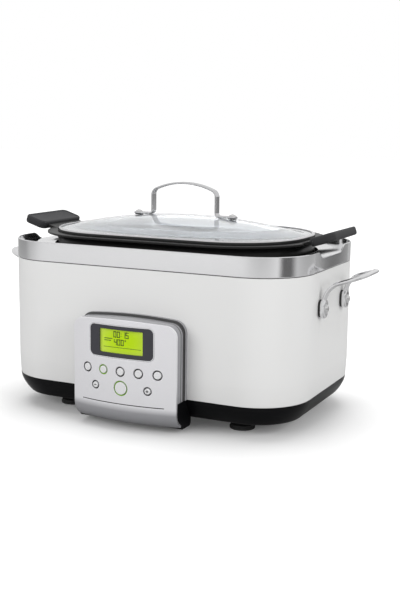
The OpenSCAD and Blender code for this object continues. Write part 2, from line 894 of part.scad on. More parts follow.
// Black lower housing below the shell's edge, cut to fit the skirt
module pod_base() {
    wall = 2.6;
    round_r = 5;
    lip_back = pod_front + roll_r + 6;
    color(dark_plastic)
    difference() {
        intersection() {
            union() {
                along_x(-pod_w / 2, pod_w / 2) {
                    translate([pod_front, pod_bottom + fascia_t])
                        square([pod_base_back - pod_front, shell_z - pod_bottom - fascia_t]);
                    translate([lip_back, pod_base_z + round_r])
                        square([pod_base_back - lip_back, pod_bottom - pod_base_z]);
                    translate([lip_back + round_r, pod_base_z])
                        square([pod_base_back - lip_back - 2 * round_r, 2 * round_r]);
                    for (y = [lip_back + round_r, pod_base_back - round_r])
                        translate([y, pod_base_z + round_r]) circle(round_r);
                }
            }
            bowed_solid(fascia_t + seat_gap, -50, shell_z + cut, 1);
            union() {
                bowed_solid(fascia_t + seat_gap, pod_bottom + fascia_t, shell_z + cut, roll_r - fascia_t);
                translate([-pod_w, lip_back, 0]) cube([2 * pod_w, body_w, shell_z]);
            }
        }
        translate([-pod_w / 2 + wall, pod_front - cut, pod_bottom + fascia_t + wall])
            cube([pod_w - 2 * wall, pod_base_back - pod_front - wall + cut, shell_z]);
        skirt_solid(0, base_z);
    }
}

// Grey surround between the fascia and the shell, with a groove and a collar
module pod_surround() {
    boss = 4;
    side_over = 1;
    groove = 1.2;
    color([0.55, 0.55, 0.57])
    difference() {
        union() {
            difference() {
                union() {
                    intersection() {
                        along_y(pod_front, front_y) pod_outline(pod_w, 0, pod_top, 1, pod_corner);
                        bowed_solid(fascia_t + seat_gap, 0, pod_top + cut, 1);
                    }
                    along_y(front_y - collar_t, front_y)
                        pod_outline(pod_w + 2 * side_over, 0, pod_top + collar_over, 1,
                            pod_corner + side_over);
                }
                along_y(pod_front - cut, front_y + cut)
                    pod_outline(pod_w - 2 * surround_t, -cut, pod_top - surround_t, 1,
                        pod_corner - surround_t);
                along_y(front_y - collar_t - groove, front_y - collar_t) difference() {
                    square(4 * pod_w, center = true);
                    pod_outline(pod_w - 1.6, -1, pod_top - 0.8, 1, pod_corner - 0.8);
                }
            }
            pod_screw_places(front_y - pod_boss) cylinder(r = boss, h = pod_boss);
            for (s = [-1, 1], z = pod_screw_z)
                translate([s > 0 ? pod_screw_x : 1 - pod_w / 2, front_y - pod_boss, z - 1.5])
                    cube([pod_w / 2 - pod_screw_x - 1, pod_boss, 3]);
        }
        pod_screw_places(front_y - pod_boss + 1) cylinder(r = pod_screw_r + 0.05, h = pod_boss + 2);
        translate([-pod_w, pod_front - cut, -cut]) cube([2 * pod_w, pod_d + 2 * cut, shell_z + cut]);
    }
}

// Rounded window outline in X-Z, grown by g
module window_outline(g) {
    panel_outline(window_w + 2 * g, window_low - g, window_top + g, window_r + g, window_r + g);
}

// Bowed silver front with its window, button holes, groove and bosses
module pod_fascia() {
    groove_z = 32;
    groove_l = 104;
    back = bow_at(boss_x) + fascia_t - 1;
    color([0.88, 0.88, 0.9])
    difference() {
        union() {
            intersection() {
                along_y(pod_front - cut, pod_front + roll_r + 6)
                    pod_outline(pod_w, pod_bottom, pod_top, pod_low_corner, pod_corner);
                difference() {
                    bowed_solid(0, pod_bottom, pod_top + cut, roll_r);
                    bowed_solid(fascia_t, pod_bottom + fascia_t, pod_top + 2 * cut, roll_r - fascia_t);
                }
            }
            board_boss_places(back) cylinder(r = boss_r, h = board_front - back);
        }
        along_y(pod_front - cut, pod_front + 9) window_outline(trim_t + ring_fit);
        for (b = BUTTONS) translate([b[1], pod_front - cut, b[2]]) rotate([-90, 0, 0])
            cylinder(r = b[3] / 2, h = 12);
        board_boss_places(back + 1.5) cylinder(r = 1.3, h = 10);
        intersection() {
            translate([-groove_l / 2, pod_front - cut, groove_z - 0.4]) cube([groove_l, 12, 0.8]);
            difference() {
                bowed_solid(-cut, 0, pod_top, 1);
                bowed_solid(0.6, -cut, pod_top + cut, 1);
            }
        }
    }
}

// Screws of the control board and of the surround
module pod_screws() {
    color("silver") {
        board_boss_places(board_front + control_t) {
            cylinder(r = 2.6, h = 1.8);
            translate([0, 0, -6]) cylinder(r = 1.25, h = 6.5);
        }
        pod_screw_places(front_y + shell_t) {
            cylinder(r = 3, h = 2);
            translate([0, 0, -shell_t - pod_boss + 2])
                cylinder(r = pod_screw_r, h = shell_t + pod_boss - 1.5);
        }
    }
}

// Slice of the bowed front between two insets, on an X-Z outline
module bowed_slice(outer, inner) {
    intersection() {
        along_y(pod_front - 2, pod_front + 12) children();
        difference() {
            bowed_solid(outer, 0, pod_top, 1);
            bowed_solid(inner, -cut, pod_top + cut, 1);
        }
    }
}

// Smoked display window
module display_window() {
    color([0.2, 0.2, 0.22]) bowed_slice(0.2, 0.2 + window_t) window_outline(-ring_fit);
}

// Bright trim round the window
module display_trim() {
    color([0.85, 0.85, 0.87])
    bowed_slice(-0.3, fascia_t) difference() {
        window_outline(trim_t);
        window_outline(0);
    }
}

// Liquid-crystal module behind the window, standing on the control board
module display_module() {
    front = bow_at(module_w / 2) + window_t + 0.5;
    color([0.62, 0.8, 0.1])
    translate([1.6 - module_w / 2, front, module_low])
        cube([module_w, board_front - front, module_top - module_low]);
}

// Control board with its mounting holes
module control_board() {
    color([0.1, 0.4, 0.2])
    difference() {
        translate([-control_l / 2, board_front, control_low])
            cube([control_l, control_t, control_top - control_low]);
        board_boss_places(board_front - cut) cylinder(r = 1.6, h = control_t + 2 * cut);
    }
}

// One switch behind each button
module tact_switches() {
    color([0.2, 0.2, 0.2])
    for (b = BUTTONS) translate([b[1], board_front, b[2]]) {
        translate([-3, -switch_h, -3]) cube([6, switch_h, 6]);
        rotate([90, 0, 0]) cylinder(r = 1.6, h = switch_h + switch_nub);
    }
}

// Button cap with its stem; its face follows the bow
module button(i) {
    b = BUTTONS[i];
    r = b[3] / 2 - button_gap;
    color([0.92, 0.92, 0.93])
    intersection() {
        translate([b[1], 0, b[2]]) rotate([-90, 0, 0]) {
            translate([0, 0, pod_front - 2]) cylinder(r = r, h = bow_at(b[1]) - pod_front + 7);
            translate([0, 0, pod_front])
                cylinder(r = button_stem, h = board_set - switch_h - switch_nub - button_travel - stem_gap);
        }
        bowed_solid(-button_proud, 0, pod_top, 1);
    }
}

module button_1() { button(0); }
module button_2() { button(1); }
module button_3() { button(2); }
module button_4() { button(3); }
module button_5() { button(4); }
module button_minus() { button(5); }
module button_start() { button(6); }
module button_plus() { button(7); }

// Light guide round a button
module light_ring(i) {
    b = BUTTONS[i];
    bowed_slice(ring_sink, ring_sink + ring_h) translate([b[1], b[2]]) difference() {
        circle(b[3] / 2 - ring_fit);
        circle(b[3] / 2 - button_gap + 0.2);
    }
}

module lit_rings() {
    color([0.5, 0.8, 0.1]) for (i = LIT) light_ring(i);
}

module dark_rings() {
    color([0.2, 0.2, 0.22]) for (i = DARK) light_ring(i);
}

// Flat cable from the control board to the power board
module control_ribbon() {
    half = ribbon_w / 2;
    t = ribbon_t;
    drop_y = front_y + ribbon_drop;
    low = board_z + board_t + lift_gap;
    color([0.8, 0.8, 0.8]) {
        translate([-half, board_front + control_t, ribbon_z])
            cube([ribbon_w, drop_y - board_front - control_t, t]);
        translate([-half, drop_y - t, low]) cube([ribbon_w, t, ribbon_z + t - low]);
        translate([-half, drop_y - t, low]) cube([ribbon_w, 2 * ribbon_drop, t]);
    }
}

// ---- Pot ----

// Tub with a rounded lower edge
module tub(l, w, r, low, top, edge) {
    hull() for (x = [-1, 1], y = [-1, 1]) translate([x * (l / 2 - r), y * (w / 2 - r), low])
        rotate_extrude($fn = 64) {
            translate([0, edge]) square([r, top - low - edge]);
            square([r - edge, edge]);
            translate([r - edge, edge]) circle(edge, $fn = 24);
        }
}

// Frame of a lifting tab on the +X end: its own +X runs outward along the slope
module tab_frame() {
    translate([pot_l / 2 - 2, 0, flange_z - tab_drop]) rotate([0, -tab_tilt, 0]) children();
}

// Lifting tab
module pot_tab() {
    reach = tab_start + grip_l - tab_inset;
    tab_frame() translate([reach / 2, 0, -tab_t / 2]) linear_extrude(tab_t) {
        rounded_rect(reach, tab_w, 6);
        translate([-reach / 2, -tab_w / 2]) square([reach / 2, tab_w]);
    }
}

// Cast pot with its flange and two lifting tabs
module pot_shell() {
    color([0.05, 0.05, 0.06])
    difference() {
        union() {
            tub(pot_l, pot_w, pot_r, pot_z, flange_z - flange_t / 2, 9);
            slab(flange_l, flange_w, flange_r, flange_z - flange_t, flange_z);
            pot_tab();
            mirror([1, 0, 0]) pot_tab();
        }
        tub(pot_l - 2 * pot_t, pot_w - 2 * pot_t, pot_r - pot_t, pot_z + pot_t, flange_z + 20, 7);
    }
}

// Silicone grip that slips over a tab, with a sunk panel on top
module pot_grip() {
    panel = 7;
    tab_frame() difference() {
        translate([tab_start + grip_l / 2, 0, -grip_t / 2]) linear_extrude(grip_t)
            rounded_rect(grip_l, grip_w, 8);
        translate([tab_start - cut, -tab_w / 2 - seat_gap, -tab_t / 2 - seat_gap])
            cube([grip_l - tab_inset + cut + seat_gap, tab_w + 2 * seat_gap, tab_t + 2 * seat_gap]);
        translate([tab_start + grip_l / 2, 0, grip_t / 2 - 0.8]) linear_extrude(cut)
            rounded_rect(grip_l - panel, grip_w - panel, 5);
    }
}

module pot_grip_right() {
    color([0.22, 0.22, 0.22]) pot_grip();
}

module pot_grip_left() {
    color([0.22, 0.22, 0.22]) mirror([1, 0, 0]) pot_grip();
}

// ---- Lid ----

// Solid below the domed surface, lowered along its own normal by an inset
module dome_solid(inset) {
    depth = 40;
    sweep = 60;
    translate([0, 0, dome_top - dome_rx]) rotate([90, 0, 0]) rotate([0, 0, 90 - sweep / 2])
        rotate_extrude(angle = sweep, $fn = 720) intersection() {
            translate([dome_rx - dome_ry, 0]) circle(dome_ry - inset, $fn = 720);
            translate([dome_rx - inset - depth, -lid_w]) square([depth + cut, 2 * lid_w]);
        }
}

// Places of the lid handle's screws
module lid_bolts(z) {
    for (s = [-1, 1]) translate([s * bolt_x, 0, z]) children();
}

// Domed glass with a flat border that the steel rim grips
module lid_glass() {
    edge = 1 + glass_gap;
    low = lid_z + 0.8 + glass_gap;
    color([0.8, 0.86, 0.85, 0.5])
    difference() {
        union() {
            slab(lid_l - 2 * edge, lid_w - 2 * edge, lid_r - edge, low, lid_top - 0.8 - glass_gap);
            intersection() {
                slab(lid_l - 2 * lip_w, lid_w - 2 * lip_w, lid_r - lip_w, low, dome_top + cut);
                dome_solid(0);
            }
        }
        dome_solid(glass_t);
        lid_bolts(low) cylinder(r = bolt_r + screw_gap, h = 2 * dome_h);
    }
}

// Steel rim round the glass, with a skirt that drops into the pot
module lid_rim() {
    skirt = 1.5;
    skirt_h = 6;
    sheet = 0.8;
    drop_in = flange_over - lid_inset + pot_t + skirt;
    color(steel) {
        band(lid_l, lid_w, lid_r, 1, lid_z, lid_top);
        band(lid_l, lid_w, lid_r, lip_w, lid_top - sheet, lid_top);
        band(lid_l, lid_w, lid_r, drop_in + sheet, lid_z, lid_z + sheet);
        band(lid_l - 2 * drop_in, lid_w - 2 * drop_in, lid_r - drop_in, sheet,
            lid_z - skirt_h, lid_z + sheet);
    }
}

// Points on an arc, with the direction pointing away from its centre times a side
function arc_points(x, z, r, from, to, side, out, steps) = [
    for (i = [0 : steps])
        let (a = from + (to - from) * i / steps, q = r + side * out)
            [x + q * cos(a), z + q * sin(a)]
];

// One edge of the strap's right half, set off the centre line by out
function strap_edge(out) = concat(
    arc_points(0, strap_top - arch_r, arch_r, 90, 90 - arch_a, 1, out, 12),
    arc_points(strap_span / 2 - shoulder_r, shoulder_z, shoulder_r, 90 - arch_a, 0, 1, out, 8),
    arc_points(strap_span / 2 + ankle_r, strap_foot + ankle_r, ankle_r, 180, 270, -1, out, 6),
    [[strap_span / 2 + foot_l, strap_foot + out]]
);

// Flat steel strap bent into an arch with two feet
module lid_handle() {
    outer = strap_edge(strap_t / 2);
    inner = strap_edge(-strap_t / 2);
    last = len(inner) - 1;
    color(steel)
    difference() {
        for (s = [0, 1]) mirror([s, 0, 0])
            along_y(-strap_w / 2, strap_w / 2)
                polygon(concat(outer, [for (i = [last : -1 : 0]) inner[i]]));
        lid_bolts(strap_foot - 5) cylinder(r = bolt_r + screw_gap, h = 10);
    }
}

// Screws through the strap, washers and glass, with their nuts
module lid_screws() {
    low = dome_top - bolt_x * bolt_x / (2 * dome_rx) - glass_t;
    color("silver")
    lid_bolts(0) {
        translate([0, 0, low - 4]) cylinder(r = bolt_r, h = strap_foot - low + 5);
        translate([0, 0, strap_foot + strap_t / 2]) domed_head(2.2 * bolt_r, 2.2);
        translate([0, 0, low - 3.6]) cylinder(r = 4.2, h = 3.2, $fn = 6);
    }
}

// Washers between the dome and the strap's feet
module lid_washers() {
    color(dark_plastic)
    lid_bolts(washer_z) difference() {
        cylinder(r = washer_r, h = washer_t);
        translate([0, 0, -cut]) cylinder(r = bolt_r + screw_gap, h = 10);
    }
}

outer_shell();
rim_band();
well_liner();
insulation_wrap();
base_tray();
rubber_feet();
tie_screws();
tie_nuts();
heater_plate();
heating_element();
element_bushes();
heater_studs();
sensor_cap();
sensor_spring();
sensor_bracket();
thermal_fuse();
power_board();
relay();
transformer();
capacitors();
terminal_block();
board_screws();
element_leads();
mains_leads();
cord_gland();
side_handle_left();
side_handle_right();
handle_spacers();
handle_screws();
handle_nuts();
pod_base();
pod_surround();
pod_fascia();
pod_screws();
display_window();
display_trim();
display_module();
control_board();
tact_switches();
lit_rings();
dark_rings();
control_ribbon();
button_1();
button_2();
button_3();
button_4();
button_5();
button_minus();
button_start();
button_plus();
pot_shell();
pot_grip_left();
pot_grip_right();
lid_glass();
lid_rim();
lid_handle();
lid_screws();
lid_washers();
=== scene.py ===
import math

import bmesh
import bpy
from mathutils import Matrix, Vector


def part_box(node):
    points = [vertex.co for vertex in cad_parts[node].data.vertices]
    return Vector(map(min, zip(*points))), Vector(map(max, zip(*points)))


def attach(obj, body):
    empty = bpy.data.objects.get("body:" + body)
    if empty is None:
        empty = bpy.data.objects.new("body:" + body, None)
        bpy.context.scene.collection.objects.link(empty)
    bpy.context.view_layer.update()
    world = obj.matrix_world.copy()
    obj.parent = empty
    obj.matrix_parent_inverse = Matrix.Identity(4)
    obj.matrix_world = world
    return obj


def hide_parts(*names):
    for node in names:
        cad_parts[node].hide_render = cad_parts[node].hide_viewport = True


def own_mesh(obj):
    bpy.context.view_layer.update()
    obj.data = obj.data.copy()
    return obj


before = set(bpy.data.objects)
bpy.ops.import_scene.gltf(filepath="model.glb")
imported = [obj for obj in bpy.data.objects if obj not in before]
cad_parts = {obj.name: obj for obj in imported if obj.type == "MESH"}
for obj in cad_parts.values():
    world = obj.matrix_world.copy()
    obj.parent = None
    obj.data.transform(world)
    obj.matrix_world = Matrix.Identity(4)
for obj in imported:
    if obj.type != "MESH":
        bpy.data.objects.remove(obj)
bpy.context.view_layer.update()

# ---- Camera ----------------------------------------------------------------
# A rather long lens at table height, in front of the cooker's right corner, looking down a
# little. It sees the control pod, the front, the right end and the top of the lid.

yaw, pitch, roll = (math.radians(angle) for angle in (25.76, 10.36, 0.6755))
sight = Vector((-math.sin(yaw) * math.cos(pitch), math.cos(yaw) * math.cos(pitch), -math.sin(pitch)))
level = Vector((math.cos(yaw), math.sin(yaw), 0))
upright = level.cross(sight)
right = level * math.cos(roll) + upright * math.sin(roll)
up = upright * math.cos(roll) - level * math.sin(roll)
lens = bpy.data.cameras.new("studio_camera")
lens.sensor_width = 36
lens.lens = 60.08
lens.clip_start = 0.01
camera = bpy.data.objects.new("studio_camera", lens)
bpy.context.scene.collection.objects.link(camera)
camera.matrix_world = (
    Matrix.Translation((0.5537, -1.1024, 0.3428)) @ Matrix((right, up, -sight)).transposed().to_4x4()
)
bpy.context.scene.camera = camera
bpy.context.scene.view_settings.view_transform = "Standard"

# ---- Table, backdrop and studio light --------------------------------------
# A white paper sweep under large soft lamps: one overhead, one at the front, one at the
# right and one behind. Two dark cloths with soft edges, which only mirrors see, shade the steel.


class Wire:
    """A shader socket that takes part in plain arithmetic."""

    def __init__(self, finish, socket):
        self.finish, self.socket = finish, socket

    def sum(self, operation, *values):
        return self.finish.node("ShaderNodeMath", {"operation": operation}, dict(enumerate(values)))

    def __add__(self, other):
        return self.sum("ADD", self, other)

    def __sub__(self, other):
        return self.sum("SUBTRACT", self, other)

    def __rsub__(self, other):
        return self.sum("SUBTRACT", other, self)

    def __mul__(self, other):
        return self.sum("MULTIPLY", self, other)

    def __gt__(self, other):
        return self.sum("GREATER_THAN", self, other)

    def __lt__(self, other):
        return self.sum("LESS_THAN", self, other)

    __radd__, __rmul__ = __add__, __mul__


class Finish:
    """One material, or the world, built node by node."""

    def __init__(self, owner):
        owner.use_nodes = True
        self.owner, self.tree = owner, owner.node_tree
        self.tree.nodes.clear()

    def node(self, kind, settings=None, inputs=None, out=0):
        made_node = self.tree.nodes.new(kind)
        for name, value in (settings or {}).items():
            setattr(made_node, name, value)
        for name, value in (inputs or {}).items():
            if isinstance(value, Wire):
                self.tree.links.new(value.socket, made_node.inputs[name])
            else:
                made_node.inputs[name].default_value = value
        return Wire(self, made_node.outputs[out]) if len(made_node.outputs) else None

    def blend(self, share, first, second):
        """Mixes two colours by a share from 0 to 1."""
        return self.node("ShaderNodeMix", {"data_type": "RGBA"}, {0: share, 6: first, 7: second}, 2)

    def place(self, stretch=(1, 1, 1)):
        """The piece's own coordinates in metres, stretched along its axes."""
        where = self.node("ShaderNodeTexCoord", out="Object")
        return self.node("ShaderNodeMapping", {}, {"Vector": where, "Scale": stretch})

    def grain(self, scale, detail=2.0, stretch=(1, 1, 1)):
        """Soft noise from 0 to 1 whose lumps are about 1/scale metres across."""
        return self.node("ShaderNodeTexNoise", {},
                         {"Vector": self.place(stretch), "Scale": scale, "Detail": detail}, "Fac")

    def relief(self, height, depth):
        """Bump from a height wire, depth in millimetres."""
        return self.node("ShaderNodeBump", {}, {"Height": height, "Distance": depth * 0.001, "Strength": 1.0})

    def surface(self, shader):
        self.node("ShaderNodeOutputMaterial", {}, {"Surface": shader})
        return self.owner

    def skin(self, colour, rough, **more):
        """Ends a material in a Principled shader; more holds its other sockets by name."""
        sockets = {"Base Color": colour, "Roughness": rough}
        sockets.update({name.replace("_", " "): value for name, value in more.items()})
        return self.surface(self.node("ShaderNodeBsdfPrincipled", {}, sockets))


def shade(r, g=None, b=None):
    """A colour with full alpha; one number gives a grey."""
    return (r, r if g is None else g, r if b is None else b, 1.0)


def stage_plane(name, low, high, finish):
    """A flat rectangle from corner to corner that belongs to the studio."""
    across = 0 if low[0] != high[0] else 1
    second = 2 if low[2] != high[2] else 1
    corners = []
    for end_a, end_b in ((0, 0), (1, 0), (1, 1), (0, 1)):
        corner = list(low)
        corner[across] = (low, high)[end_a][across]
        corner[second] = (low, high)[end_b][second]
        corners.append(corner)
    mesh = bpy.data.meshes.new(name)
    mesh.from_pydata(corners, [], [(0, 1, 2, 3)])
    mesh.materials.append(finish)
    plane = bpy.data.objects.new(name, mesh)
    bpy.context.scene.collection.objects.link(plane)
    return plane


def seen_apart(finish, kind, colours):
    """Surface with one colour for the camera, one for mirror rays and one for the rest."""
    camera_ray = finish.node("ShaderNodeLightPath", out="Is Camera Ray")
    mirror_ray = finish.node("ShaderNodeLightPath", out="Is Glossy Ray")
    seen, mirrored, rest = (finish.node(kind, {}, {"Color": colour}) for colour in colours)
    unseen = finish.node("ShaderNodeMixShader", {}, {0: mirror_ray, 1: rest, 2: mirrored})
    return unseen, camera_ray, seen


paper = Finish(bpy.data.materials.new("paper_sweep"))
paper_place = paper.node("ShaderNodeNewGeometry", out="Position")
paper_depth = paper.node("ShaderNodeSeparateXYZ", {}, {"Vector": paper_place}, 1)
paper_turn = paper.node("ShaderNodeMapRange", {}, {"Value": paper_depth, "From Min": -0.75, "From Max": -0.3})
paper_mirrored = paper.blend(paper_turn, shade(0.55), shade(0.40))
paper_other, paper_seen, paper_matt = seen_apart(
    paper, "ShaderNodeBsdfDiffuse", (shade(0.8), paper_mirrored, shade(0.42)))
paper_away = paper.node("ShaderNodeVectorMath", {"operation": "LENGTH"}, {0: paper_place}, "Value")
paper_far = paper.node("ShaderNodeMapRange", {}, {"Value": paper_away, "From Min": 0.6, "From Max": 3.0})
paper_glow = paper.node("ShaderNodeEmission", {}, {
    "Color": paper.blend(paper_far, shade(0.06), shade(0.7)), "Strength": 1.0})
paper_bright = paper.node("ShaderNodeAddShader", {}, {0: paper_matt, 1: paper_glow})
paper_half = 8
stage_plane("table_top", (-paper_half, -paper_half, 0), (paper_half, paper_half, 0), paper.surface(
    paper.node("ShaderNodeMixShader", {}, {0: paper_seen, 1: paper_other, 2: paper_bright})))

for name, low, high, axis, middle, reach in (
        ("flag_behind", (0.32, 0.5, 0.0), (0.384, 0.5, 0.25), 0, 0.352, 0.032),
        ("flag_beside", (1.0, -0.68, 0.0), (1.0, 0.12, 0.3), 1, -0.28, 0.40)):
    cloth = Finish(bpy.data.materials.new(name + "_cloth"))
    cloth_place = cloth.node("ShaderNodeNewGeometry", out="Position")
    off_middle = cloth.node("ShaderNodeSeparateXYZ", {}, {"Vector": cloth_place}, axis) - middle
    from_middle = off_middle.sum("ABSOLUTE", off_middle)
    sheer = cloth.node("ShaderNodeMapRange", {"interpolation_type": "SMOOTHSTEP"}, {
        "Value": from_middle, "From Min": reach * 0.25, "From Max": reach})
    dark_cloth = cloth.surface(cloth.node("ShaderNodeMixShader", {}, {
        0: sheer, 1: cloth.node("ShaderNodeBsdfDiffuse", {}, {"Color": shade(0.15)}),
        2: cloth.node("ShaderNodeBsdfTransparent")}))
    flag = stage_plane(name, low, high, dark_cloth)
    flag.visible_camera = False
    flag.visible_diffuse = False
    flag.visible_shadow = False
    flag.visible_transmission = False

world = Finish(bpy.data.worlds.new("white_studio"))
bpy.context.scene.world = world.owner
air_other, air_seen, air_bright = seen_apart(
    world, "ShaderNodeBackground", (shade(1), shade(0.85), shade(0.5)))
world.node("ShaderNodeOutputWorld", {}, {"Surface": world.node(
    "ShaderNodeMixShader", {}, {0: air_seen, 1: air_other, 2: air_bright})})


def soft_lamp(name, place, aim, size, power):
    """A large rectangular lamp that faces a point."""
    light = bpy.data.lights.new(name, "AREA")
    light.shape, light.size, light.size_y, light.energy = "RECTANGLE", size[0], size[1], power
    lamp = bpy.data.objects.new(name, light)
    bpy.context.scene.collection.objects.link(lamp)
    lamp.location = place
    lamp.rotation_euler = (Vector(aim) - Vector(place)).to_track_quat("-Z", "Y").to_euler()
    lamp.visible_camera = False
    lamp.visible_glossy = False
    return lamp


soft_lamp("lamp_overhead", (-0.3, 0.35, 1.7), (0, 0, 0.1), (1.8, 1.4), 23)
soft_lamp("lamp_front", (-0.7, -1.9, 0.9), (0, 0, 0.1), (1.8, 1.2), 21)
soft_lamp("lamp_right", (2.0, -0.5, 1.0), (0, 0, 0.1), (1.4, 1.2), 24)
soft_lamp("lamp_behind", (0, 2.0, 1.2), (0, 0, 0.2), (2.6, 1.4), 16)

# ---- Base tray -------------------------------------------------------------
# The foot of the cooker: one black polypropylene moulding with a gloss skirt that draws in
# towards the table, four cup feet and two rows of vents. The steel shell stands on its lip.

MM = 0.001


def span(node):
    """Lowest and highest corner of a frame node, in millimetres."""
    low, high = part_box(node)
    return low / MM, high / MM


def rounded_rectangle(length, depth, radius, z, corner=14, long_side=24, short_side=48):
    """Ring of points on a rectangle with round corners, always with the same count."""
    in_x, in_y = length / 2 - radius, depth / 2 - radius
    arcs = []
    for side_x, side_y, start in ((1, -1, -90), (1, 1, 0), (-1, 1, 90), (-1, -1, 180)):
        angles = [math.radians(start + 90 * k / corner) for k in range(corner + 1)]
        arcs.append([Vector((side_x * in_x + radius * math.cos(a), side_y * in_y + radius * math.sin(a), z))
                     for a in angles])
    ring = []
    for i, parts in enumerate((short_side, long_side, short_side, long_side)):
        start, end = arcs[i][-1], arcs[(i + 1) % 4][0]
        ring += arcs[i] + [start.lerp(end, k / parts) for k in range(1, parts)]
    return ring


def softened(corners, steps=4, loop=True):
    """Profile through (x, z, radius) corners, with each corner replaced by its arc."""
    points = []
    last = len(corners) - 1
    for i, (x, z, radius) in enumerate(corners):
        here = Vector((x, z))
        if not radius or (not loop and i in (0, last)):
            points.append(here)
            continue
        back = Vector(corners[i - 1][:2]) - here
        ahead = Vector(corners[(i + 1) % (last + 1)][:2]) - here
        half = back.angle(ahead) / 2
        reach = min(radius / math.tan(half), 0.49 * back.length, 0.49 * ahead.length)
        back, ahead = back.normalized(), ahead.normalized()
        centre = here + (back + ahead).normalized() * reach / math.cos(half)
        start, end = here + back * reach - centre, here + ahead * reach - centre
        for k in range(steps + 1):
            share = k / steps
            along = (start * (1 - share) + end * share).normalized()
            points.append(centre + along * start.length)
    return points


def skinned(rings, loop=False):
    """Points and faces over rings of equal count, or single points as poles."""
    points, starts, faces = [], [], []
    for ring in rings:
        starts.append(len(points))
        points += ring
    pairs = list(zip(range(len(rings) - 1), range(1, len(rings))))
    if loop:
        pairs.append((len(rings) - 1, 0))
    for a, b in pairs:
        count = max(len(rings[a]), len(rings[b]))
        for i in range(count):
            corners = []
            for which, step in ((a, i), (a, i + 1), (b, i + 1), (b, i)):
                index = starts[which] + step % len(rings[which])
                if index not in corners:
                    corners.append(index)
            faces.append(corners)
    if not loop:
        for which in (0, len(rings) - 1):
            if len(rings[which]) > 1:
                faces.append([starts[which] + i for i in range(len(rings[which]))])
    return points, faces


def turned(profile, sides=40, place=Matrix()):
    """Round part from a (radius, height) profile, turned about the place's own Z axis."""
    rings = []
    for radius, height in profile:
        turns = [math.tau * k / sides for k in range(sides)] if radius > 0 else [0]
        rings.append([place @ Vector((radius * math.cos(a), radius * math.sin(a), height)) for a in turns])
    return skinned(rings, loop=profile[0][0] > 0 and profile[-1][0] > 0)


def block(low, high):
    """Plain box between two corners."""
    around = ((low[0], low[1]), (high[0], low[1]), (high[0], high[1]), (low[0], high[1]))
    return skinned([[Vector((x, y, z)) for x, y in around] for z in (low[2], high[2])])


def made(name, *parts):
    """One object out of closed skins given in millimetres."""
    build = bmesh.new()
    for points, faces in parts:
        corners = [build.verts.new(Vector(p) * MM) for p in points]
        for face in faces:
            build.faces.new([corners[i] for i in face])
    bmesh.ops.recalc_face_normals(build, faces=build.faces)
    mesh = bpy.data.meshes.new(name)
    build.to_mesh(mesh)
    build.free()
    piece = bpy.data.objects.new(name, mesh)
    bpy.context.scene.collection.objects.link(piece)
    return piece


def settled(piece):
    """Turns what the piece's modifiers make into its plain mesh."""
    view = bpy.context.evaluated_depsgraph_get()
    mesh = bpy.data.meshes.new_from_object(piece.evaluated_get(view))
    piece.modifiers.clear()
    piece.data = mesh
    mesh.name = piece.name
    return piece


def drilled(piece, *cutters):
    """Cuts closed skins out of a piece."""
    tool = made(piece.name + "_cutter", *cutters)
    cut = piece.modifiers.new("holes", "BOOLEAN")
    cut.operation, cut.solver, cut.object = "DIFFERENCE", "EXACT", tool
    cut.use_self = True
    settled(piece)
    bpy.data.objects.remove(tool)
    return piece


def fitted(piece, finish, body, slot, *nodes, crease=35):
    """Gives a piece its finish and smooth faces, and fixes it to its body in place of the nodes."""
    piece.data.materials.clear()
    piece.data.materials.append(finish)
    piece.data.shade_smooth()
    piece.data.set_sharp_from_angle(angle=math.radians(crease))
    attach(piece, body)
    if nodes:
        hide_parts(*nodes)
    return piece


def row_tree():
    """Node tree that sets a piece's own shape out in a row."""
    tree = bpy.data.node_groups.new("set_out_in_a_row", "GeometryNodeTree")
    sockets = (("Shape", "NodeSocketGeometry"), ("Count", "NodeSocketInt"), ("First", "NodeSocketVector"),
               ("Step", "NodeSocketVector"), ("Finish", "NodeSocketMaterial"))
    for name, kind in sockets:
        tree.interface.new_socket(name, in_out="INPUT", socket_type=kind)
    tree.interface.new_socket("Shape", in_out="OUTPUT", socket_type="NodeSocketGeometry")
    start, end = tree.nodes.new("NodeGroupInput"), tree.nodes.new("NodeGroupOutput")
    line = tree.nodes.new("GeometryNodeMeshLine")
    copies = tree.nodes.new("GeometryNodeInstanceOnPoints")
    real = tree.nodes.new("GeometryNodeRealizeInstances")
    coat = tree.nodes.new("GeometryNodeSetMaterial")
    for source, target in (
        (start.outputs["Count"], line.inputs["Count"]),
        (start.outputs["First"], line.inputs["Start Location"]),
        (start.outputs["Step"], line.inputs["Offset"]),
        (line.outputs["Mesh"], copies.inputs["Points"]),
        (start.outputs["Shape"], copies.inputs["Instance"]),
        (copies.outputs["Instances"], real.inputs["Geometry"]),
        (real.outputs["Geometry"], coat.inputs["Geometry"]),
        (start.outputs["Finish"], coat.inputs["Material"]),
        (coat.outputs["Geometry"], end.inputs["Shape"]),
    ):
        tree.links.new(source, target)
    return tree


in_a_row = row_tree()


def set_out(piece, count, first, step, finish):
    """Repeats a piece count times from first, step apart, in millimetres."""
    row = piece.modifiers.new("row", "NODES")
    row.node_group = in_a_row
    values = {"Count": count, "First": Vector(first) * MM, "Step": Vector(step) * MM, "Finish": finish}
    for item in in_a_row.interface.items_tree:
        if item.in_out == "INPUT" and item.name in values:
            row[item.identifier] = values[item.name]
    return settled(piece)


